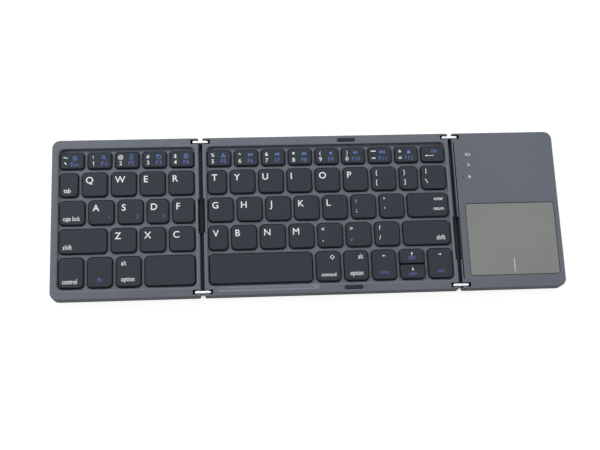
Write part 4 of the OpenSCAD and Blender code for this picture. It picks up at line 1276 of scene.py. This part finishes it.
def touchpad_deck_cuts(panel, low, high):
    """What is cut out of the right deck: its room, the touchpad's window, holes and a groove."""
    rim = high[2]
    under = rim - PANEL_T
    foot = low[2] - CUT_OVER
    pad = plan_of(*box_mm("touchpad"))
    guide_low, guide_high = box_mm("light_guides")
    guide_x = (guide_low[0] + guide_high[0]) / 2
    socket_low, socket_high = box_mm("charge_socket")
    window = hole(grown(pad, PAD_CLEAR), PAD_R + PAD_CLEAR, rim + CUT_OVER, under - WINDOW_OVER,
                  rim, SMALL_EDGE_R)
    pins = [hole(grown([guide_x, y, guide_x, y], GUIDE_HOLE_R), GUIDE_HOLE_R, rim + CUT_OVER,
                 under - WINDOW_OVER, rim, GUIDE_HOLE_EDGE_R) for y in GUIDE_YS]
    mouth = grown(plan_of(socket_low, socket_high), SOCKET_CLEAR)
    mouth = [mouth[0], high[1] - LONG_WALL - CUT_OVER, mouth[2], high[1] + CUT_OVER]
    socket = shell([[*mouth, SOCKET_MOUTH_R, SOCKET_MOUTH_R, z]
                    for z in (socket_high[2] + SOCKET_CLEAR, foot)])
    x, end = low[0] + GROOVE_X, LIP_CREASE_Y - 1
    groove = shell([[x, -end, x + GROOVE_W, end, GROOVE_R, GROOVE_R, z]
                    for z in (rim + CUT_OVER, rim - GROOVE_DEPTH)])
    return [[cavity(panel, low, high, under, foot)], [window, *pins, socket], [groove]]


def key_deck_cuts(name, panel, low, high):
    """What is cut out of a deck with keys: recess, room, key openings and the trench behind."""
    rim = high[2]
    web_z = rim - RECESS_DEPTH
    under = web_z - WEB_T
    openings = openings_of(panel["body"])
    plans = np.array([plan for plan, r in openings])
    block = [plans[:, 0].min(), plans[:, 1].min(), plans[:, 2].max(), plans[:, 3].max()]
    sunk = grown(block, RECESS_MARGINS)
    recess = hole(sunk, RECESS_R, rim + CUT_OVER, web_z, rim, RECESS_EDGE_R, RECESS_FILLET_R)
    keys = [hole(plan, r, web_z + OPENING_OVER, under - OPENING_OVER, web_z, OPENING_EDGE_R)
            for plan, r in openings]
    side, back = TRENCH_INSETS
    trench = [sunk[0] + side, block[3] + TRENCH_CLEAR, sunk[2] - side, sunk[3] - back]
    behind = shell([[*trench, TRENCH_R, TRENCH_R, z]
                    for z in (web_z + TRENCH_RISE, web_z - TRENCH_DEPTH)])
    cuts = [[recess, cavity(panel, low, high, under, low[2] - CUT_OVER)], keys, [behind]]
    if name == "centre":
        cuts.append([scoop_cutter(sunk[1], rim)] + rest_pad_pockets(rim))
    return cuts


def make_deck(name):
    """An upper casing: its blank, then its recess, room, openings, slots, bores and pockets."""
    panel = PANELS[name]
    low, high = box_mm(name + "_deck")
    rim = high[2]
    obj = solid(name, [shell(casing_rows(panel, low, high, True), 8)])
    if name == "right":
        passes = touchpad_deck_cuts(panel, low, high)
    else:
        passes = key_deck_cuts(name, panel, low, high)
    slots, notches = gap_cutters(panel, gap_edges(name), rim + CUT_OVER, low[2] - CUT_OVER, rim)
    carve(obj, *passes, slots + notches, pin_bores(panel), fastener_holes(name, low[2], rim))
    slope_lips(obj, rim)
    finish_deck(obj, panel)
    dress(smooth(obj), name + "_deck_shell", None, panel["body"], "casing", name + "_deck")


def rest_pad_plans():
    """The two rim pads in plan, and their corner radius."""
    low, high = box_mm("rest_pads")
    front = [low[0], low[1], high[0], low[1] + REST_PAD_W]
    back = [low[0], high[1] - REST_PAD_W, high[0], high[1]]
    return [front, back], REST_PAD_W / 2


def rest_pad_pockets(rim):
    """Pockets that the rim pads sit in."""
    plans, r = rest_pad_plans()
    return [hole(grown(plan, REST_PAD_CLEAR), r + REST_PAD_CLEAR, rim + CUT_OVER,
                 rim - REST_PAD_POCKET, rim, REST_POCKET_EDGE_R) for plan in plans]


def make_rest_pads():
    """Rubber pads with rounded tops."""
    low, high = box_mm("rest_pads")
    plans, r = rest_pad_plans()
    shapes = []
    for plan in plans:
        rows = []
        for drop in edge_drops(REST_PAD_EDGE_R, 5):
            inset = float(edge_inset(REST_PAD_EDGE_R, drop))
            rows.append([*grown(plan, -inset), r - inset, r - inset, high[2] - drop])
        rows.append([*plan, r, r, low[2]])
        shapes.append(shell(rows))
    pads = smooth(solid("rest_pads", shapes))
    dress(pads, "rim_pads", RUBBER, "centre", "rubber", "rest_pads")


def feet_places(name):
    """The middles of a panel's four feet, and the feet's lowest and highest z."""
    low, high = box_mm(name + "_feet")
    return corner_spots(low, high, FOOT_R), low[2], high[2]


def make_cover(name):
    """A bottom cover: its blank, the room inside, and the pockets for feet, screws and cable.

    The cable passages overlap the notches, so they are cut in a pass of their own.
    """
    panel = PANELS[name]
    low, high = box_mm(name + "_bottom_cover")
    high[2] = box_mm(name + "_deck")[0][2]
    floor_z = low[2] + FLOOR_T
    under, over = low[2] - CUT_OVER, high[2] + CUT_OVER
    obj = solid(name, [shell(casing_rows(panel, low, high, False), 8)])
    spots = screw_spots(name)
    feet = [disc(x, y, FOOT_R + FOOT_CLEAR, low[2] + FOOT_POCKET, under)
            for x, y in feet_places(name)[0]]
    heads = [disc(x, y, HEAD_R + HEAD_CLEAR, SCREW_HEAD_TOP_Z, under) for x, y in spots]
    shanks = [disc(x, y, SHANK_R + HEAD_CLEAR, over, SCREW_HEAD_TOP_Z - SHANK_OVER)
              for x, y in spots]
    notches = gap_cutters(panel, gap_edges(name), over, under, over)[1]
    half, passage_z = CABLE_PASSAGE
    passages = []
    for side, x in gap_edges(name).items():
        turn = panel["gaps"][side]
        x0, x1 = sorted([x - turn, x + turn * (GAP_WALL + 1)])
        y = COVERS[side][0]
        passages.append(shell([[x0, y - half, x1, y + half, CABLE_PASSAGE_R, CABLE_PASSAGE_R, z]
                               for z in (high[2] + CABLE_PASSAGE_OVER, passage_z)]))
    passes = [[cavity(panel, low, high, over, floor_z)], feet + heads, shanks, notches, passages]
    if name == "right":
        passes.append(["add", *board_posts(floor_z)])
    carve(obj, *passes)
    dress(smooth(obj), name + "_bottom_shell", BASE, panel["body"], "base", name + "_bottom_cover")


def board_posts(floor_z):
    """Posts under the main board, the touchpad's two supports and the pillar under its switch."""
    low, high = box_mm("main_board")
    root = floor_z - POST_ROOT
    posts = [disc(x, y, BOARD_POST_R, low[2], root)
             for x, y in corner_spots(low, high, BOARD_POST_INSET)]
    pad_low, pad_high = box_mm("touchpad")
    board_z = box_mm("touchpad_board")[0][2]
    x = (pad_low[0] + pad_high[0]) / 2
    y = pad_high[1] - SUPPORT_Y
    for s in (-1, 1):
        middle = x + s * SUPPORT_X
        plan = [middle - SUPPORT_HALF_W, y, middle + SUPPORT_HALF_W, y + SUPPORT_L]
        posts.append(shell([[*plan, SUPPORT_R, SUPPORT_R, z] for z in (board_z + SWITCH_H, root)]))
    posts.append(disc(x, pad_low[1] + PILLAR_Y, PILLAR_R, board_z - CLICK_GAP, root))
    return posts


def make_feet():
    """Rubber feet with rounded lower edges."""
    for name, panel in PANELS.items():
        places, low_z, high_z = feet_places(name)
        feet = solid(name, [disc(x, y, FOOT_R, high_z, low_z, FOOT_EDGE_R) for x, y in places])
        dress(smooth(feet), name + "_rubber_feet", RUBBER, panel["body"], "rubber", name + "_feet")


def make_touchpad():
    """The touch surface with its fine rounded edge, and the line that parts its two halves."""
    low, high = box_mm("touchpad")
    plan = plan_of(low, high)
    rows = [[*grown(plan, -PAD_FLAT), PAD_R - PAD_FLAT, PAD_R - PAD_FLAT, high[2]]]
    for drop in edge_drops(PAD_EDGE_R, 5):
        inset = float(edge_inset(PAD_EDGE_R, drop))
        rows.append([*grown(plan, -inset), PAD_R - inset, PAD_R - inset, high[2] - drop])
    rows.append([*plan, PAD_R, PAD_R, low[2]])
    pad = smooth(solid("pad", [shell(rows)]))
    dress(pad, "touch_plate", PAD, "touchpad", "touch_surface", "touchpad")
    x0 = (low[0] + high[0]) / 2 + PAD_LINE_X
    x1 = x0 + PAD_LINE_W
    y0, y1 = (low[1] + y for y in PAD_LINE_YS)
    line = plate([(x0, y0), (x1, y0), (x1, y1), (x0, y1)], high[2] + INK_BASE, high[2] + INK_T)
    print_on("touch_line", "touchpad", [(WHITE_INK, line)], "touch_surface")


def make_lamps():
    """The three dark light guides, and a small sign beside each."""
    low, high = box_mm("light_guides")
    x = (low[0] + high[0]) / 2
    guides = solid("guides", [disc(x, y, GUIDE_R, high[2], low[2]) for y in GUIDE_YS])
    dress(smooth(guides), "light_guide_rods", GUIDE, "right_wing", "light_guide", "light_guides")
    rim = box_mm("right_deck")[1][2]
    marks = []
    for y, sign in zip(GUIDE_YS, ("A", "waves", "cell")):
        mark = (sign, *LAMP_SIGN, WHITE_INK, "middle")
        marks.append((WHITE_INK, printed(mark, high[0], y - 2, high[0] + 5, y, rim)))
    print_on("lamp_signs", "right_wing", marks, "casing")


def make_hinges():
    """The polished links, whose sides are painted black as a painted shade in the gap, and in each
    gap the spine and the flat cable.
    """
    for side, wing in (("left", "left_wing"), ("right", "right_wing")):
        body = side + "_link"
        low, high = box_mm(side + "_hinge_links")
        middle_y = high[1] - LINK_T / 2
        middle = (low[0] + high[0]) / 2
        ends = (-middle_y, middle_y)
        links = solid("links", [link_plate(low, high, y) for y in ends])
        tongues = [tongue(middle, low[2], y) for y in ends]
        bores = [rod(middle + s * PIVOT_X, PIVOT_Z, PIN_R, y - LINK_T, y + LINK_T)
                 for s in (-1, 1) for y in ends]
        carve(links, ["add", *tongues], bores)
        links.data.materials.append(LINK)
        links.data.materials.append(PAINTED_SHADE_BLACK)
        # Faces turned along y take the black: a painted shade in place of the floor's reflection on
        # the link's sides.
        sides = np.abs(per_face(links.data, "normal")[:, 1]) > LINK_SIDE
        links.data.polygons.foreach_set("material_index", sides.astype(np.int32))
        dress(smooth(links), side + "_links", None, body, "link_chrome", side + "_hinge_links")
        softened(side + "_spine", SPINE_EDGE_R, side + "_spine_bar", SPINE, body, "spine_plastic")
        flat_cable(side, wing)


def tongue(middle, low_z, y):
    """The narrow tongue in the gap that reaches from a link's plate down to the spine."""
    plan = [middle - TONGUE_W / 2, y - LINK_T / 2, middle + TONGUE_W / 2, y + LINK_T / 2]
    return shell([[*plan, TONGUE_R, TONGUE_R, z] for z in (PIVOT_Z, low_z)])


def link_plate(low, high, y):
    """A link's plate, with rounded edges: its side view has small corners above and large below.

    A ring at distance t from the nearer face is drawn in by the quarter rounds of both edge radii.
    """
    rows = []
    foot_z = PIVOT_Z - LINK_LOWER_R
    drops = edge_drops(LINK_END_R, 6)
    half = LINK_T / 2 - LINK_SLIM
    stations = np.concatenate([half - drops, drops[::-1] - half])
    for t in stations:
        drop = half - abs(t)
        along = float(edge_inset(LINK_END_R, drop))
        up = float(edge_inset(LINK_EDGE_R, drop))
        rows.append([foot_z + up, low[0] + along, high[2] - up, high[0] - along, LINK_LOWER_R - up,
                     LINK_UPPER_R - up / 2, y + t])
    return skin(rings(rows, 8)[..., [1, 2, 0]])


def flat_cable(side, wing):
    """The flat cable in two halves: one runs from the gap's middle towards the centre, one towards
    the wing.

    Each is a flat rectangle carried along x in equal steps.
    """
    low, high = box_mm(side + "_flat_cable")
    middle, z = (low[0] + high[0]) / 2, (low[2] + high[2]) / 2
    turn = 1 if wing == "left_wing" else -1
    for name, s, other in (("inner", turn, "centre"), ("outer", -turn, wing)):
        xs = middle + s * np.linspace(0, (high[0] - low[0]) / 2, CABLE_STATIONS)
        xs = np.sort(xs)[::-1]
        grid = np.array([[[x, low[1], low[2]], [x, high[1], low[2]], [x, high[1], high[2]],
                          [x, low[1], high[2]]] for x in xs])
        obj = solid("cable", [skin(grid)])
        obj.data.materials.append(CABLE)
        obj.name = obj.data.name = f"{side}_{name}_cable"
        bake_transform(smooth(obj))
        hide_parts(side + "_flat_cable")


# Surroundings


def soft_box(name, place, target, width, depth, watts):
    """A wide soft lamp that faces the target."""
    data = bpy.data.lights.new(name, "AREA")
    data.shape = "RECTANGLE"
    data.size = width
    data.size_y = depth
    data.energy = watts
    lamp = bpy.data.objects.new(name, data)
    lamp.location = place
    lamp.rotation_euler = (Vector(target) - Vector(place)).to_track_quat("-Z", "Y").to_euler()
    bpy.context.scene.collection.objects.link(lamp)


FLOOR_SIZE = 6.0
FLOOR_GLOW = 0.86
FLOOR_SHADE = (0.3, 0.3, 0.3, 1.0)
FLOOR_BOUNCE = (0.35, 0.35, 0.35, 1.0)
PAINTED_SHADOW_REACH = 12.0
WORLD_LIGHT = 0.22
SOFT_BOXES = [
    ("back", (-0.25, 1.1, 1.0), 1.4, 0.4, 12.0),
    ("left", (-1.1, 0.15, 0.7), 0.9, 0.4, 9.0),
    ("right", (1.1, 0.15, 0.7), 0.9, 0.4, 5.0),
]


def seen_in_view(tree):
    """1 where the camera sees a thing, directly or by a mirror or glass, and else 0."""
    path = add(tree, "ShaderNodeLightPath")
    seen = maths(tree, "MAXIMUM", path.outputs["Is Camera Ray"], path.outputs["Is Glossy Ray"])
    return maths(tree, "MAXIMUM", seen, path.outputs["Is Transmission Ray"])


def make_floor():
    """A plain white floor. What the camera sees of it glows, so that it stays white; ambient
    occlusion dims the glow under and beside the keyboard, a painted shadow.
    """
    h = FLOOR_SIZE / 2
    mesh = bpy.data.meshes.new("floor")
    mesh.from_pydata([(-h, -h, 0), (h, -h, 0), (h, h, 0), (-h, h, 0)], [], [(0, 1, 2, 3)])
    floor = bpy.data.objects.new("floor", mesh)
    bpy.context.scene.collection.objects.link(floor)
    material = bpy.data.materials.new("floor")
    material.use_nodes = True
    tree = material.node_tree
    tree.nodes.clear()
    seen = seen_in_view(tree)
    plain = add(tree, "ShaderNodeBsdfDiffuse", {"Color": FLOOR_BOUNCE})
    shaded = add(tree, "ShaderNodeBsdfDiffuse", {"Color": FLOOR_SHADE})
    # Painted shadow: ambient occlusion within this reach dims the floor's glow under and beside the
    # keyboard.
    near = add(tree, "ShaderNodeAmbientOcclusion", {"Distance": PAINTED_SHADOW_REACH * MM}, samples=8)
    painted_shadow_glow = add(tree, "ShaderNodeMapRange",
              {"Value": near.outputs["AO"], "From Min": 0.05, "From Max": 0.35, "To Min": 0.02,
               "To Max": FLOOR_GLOW})
    glow = add(tree, "ShaderNodeEmission", {"Color": (1, 1, 1, 1), "Strength": painted_shadow_glow.outputs[0]})
    bright = add(tree, "ShaderNodeAddShader", {0: shaded.outputs[0], 1: glow.outputs[0]})
    mixed = add(tree, "ShaderNodeMixShader", {0: seen, 1: plain.outputs[0], 2: bright.outputs[0]})
    out = add(tree, "ShaderNodeOutputMaterial", {"Surface": mixed.outputs[0]})
    out.is_active_output = True
    mesh.materials.append(material)


def make_world():
    """Even light from all round, white where the camera or a reflection sees it."""
    world = bpy.data.worlds.new("room")
    bpy.context.scene.world = world
    world.use_nodes = True
    tree = world.node_tree
    tree.nodes.clear()
    seen = seen_in_view(tree)
    strength = add(tree, "ShaderNodeMapRange",
                   {"Value": seen, "To Min": WORLD_LIGHT, "To Max": 1.0})
    light = add(tree, "ShaderNodeBackground",
                {"Color": (1, 1, 1, 1), "Strength": strength.outputs[0]})
    add(tree, "ShaderNodeOutputWorld", {"Surface": light.outputs[0]})


CAMERA_PLACE = (-0.044444, -0.145421, 0.555957)
CAMERA_RIGHT = (0.997314, -0.040786, 0.060838)
CAMERA_UP = (0.024563, 0.968758, 0.246789)
CAMERA_BACK = (-0.069003, -0.244631, 0.967158)
CAMERA_LENS = 61.0


def make_camera():
    """The photograph's camera, from its place and its three axes."""
    data = bpy.data.cameras.new("camera")
    data.sensor_width = 36
    data.lens = CAMERA_LENS
    camera = bpy.data.objects.new("camera", data)
    turned = Matrix((CAMERA_RIGHT, CAMERA_UP, CAMERA_BACK)).transposed().to_4x4()
    camera.matrix_world = Matrix.Translation(CAMERA_PLACE) @ turned
    bpy.context.scene.collection.objects.link(camera)
    bpy.context.scene.camera = camera


def main():
    """Builds every piece, then the floor, the light and the camera."""
    finish_plain_nodes()
    for name in PANELS:
        make_deck(name)
        make_cover(name)
    make_keys()
    make_touchpad()
    make_lamps()
    make_rest_pads()
    make_feet()
    make_hinges()
    make_floor()
    make_world()
    for name, place, width, depth, watts in SOFT_BOXES:
        soft_box(name, place, (0, 0, 0), width, depth, watts)
    make_camera()
    bpy.context.scene.view_settings.view_transform = "Standard"


main()
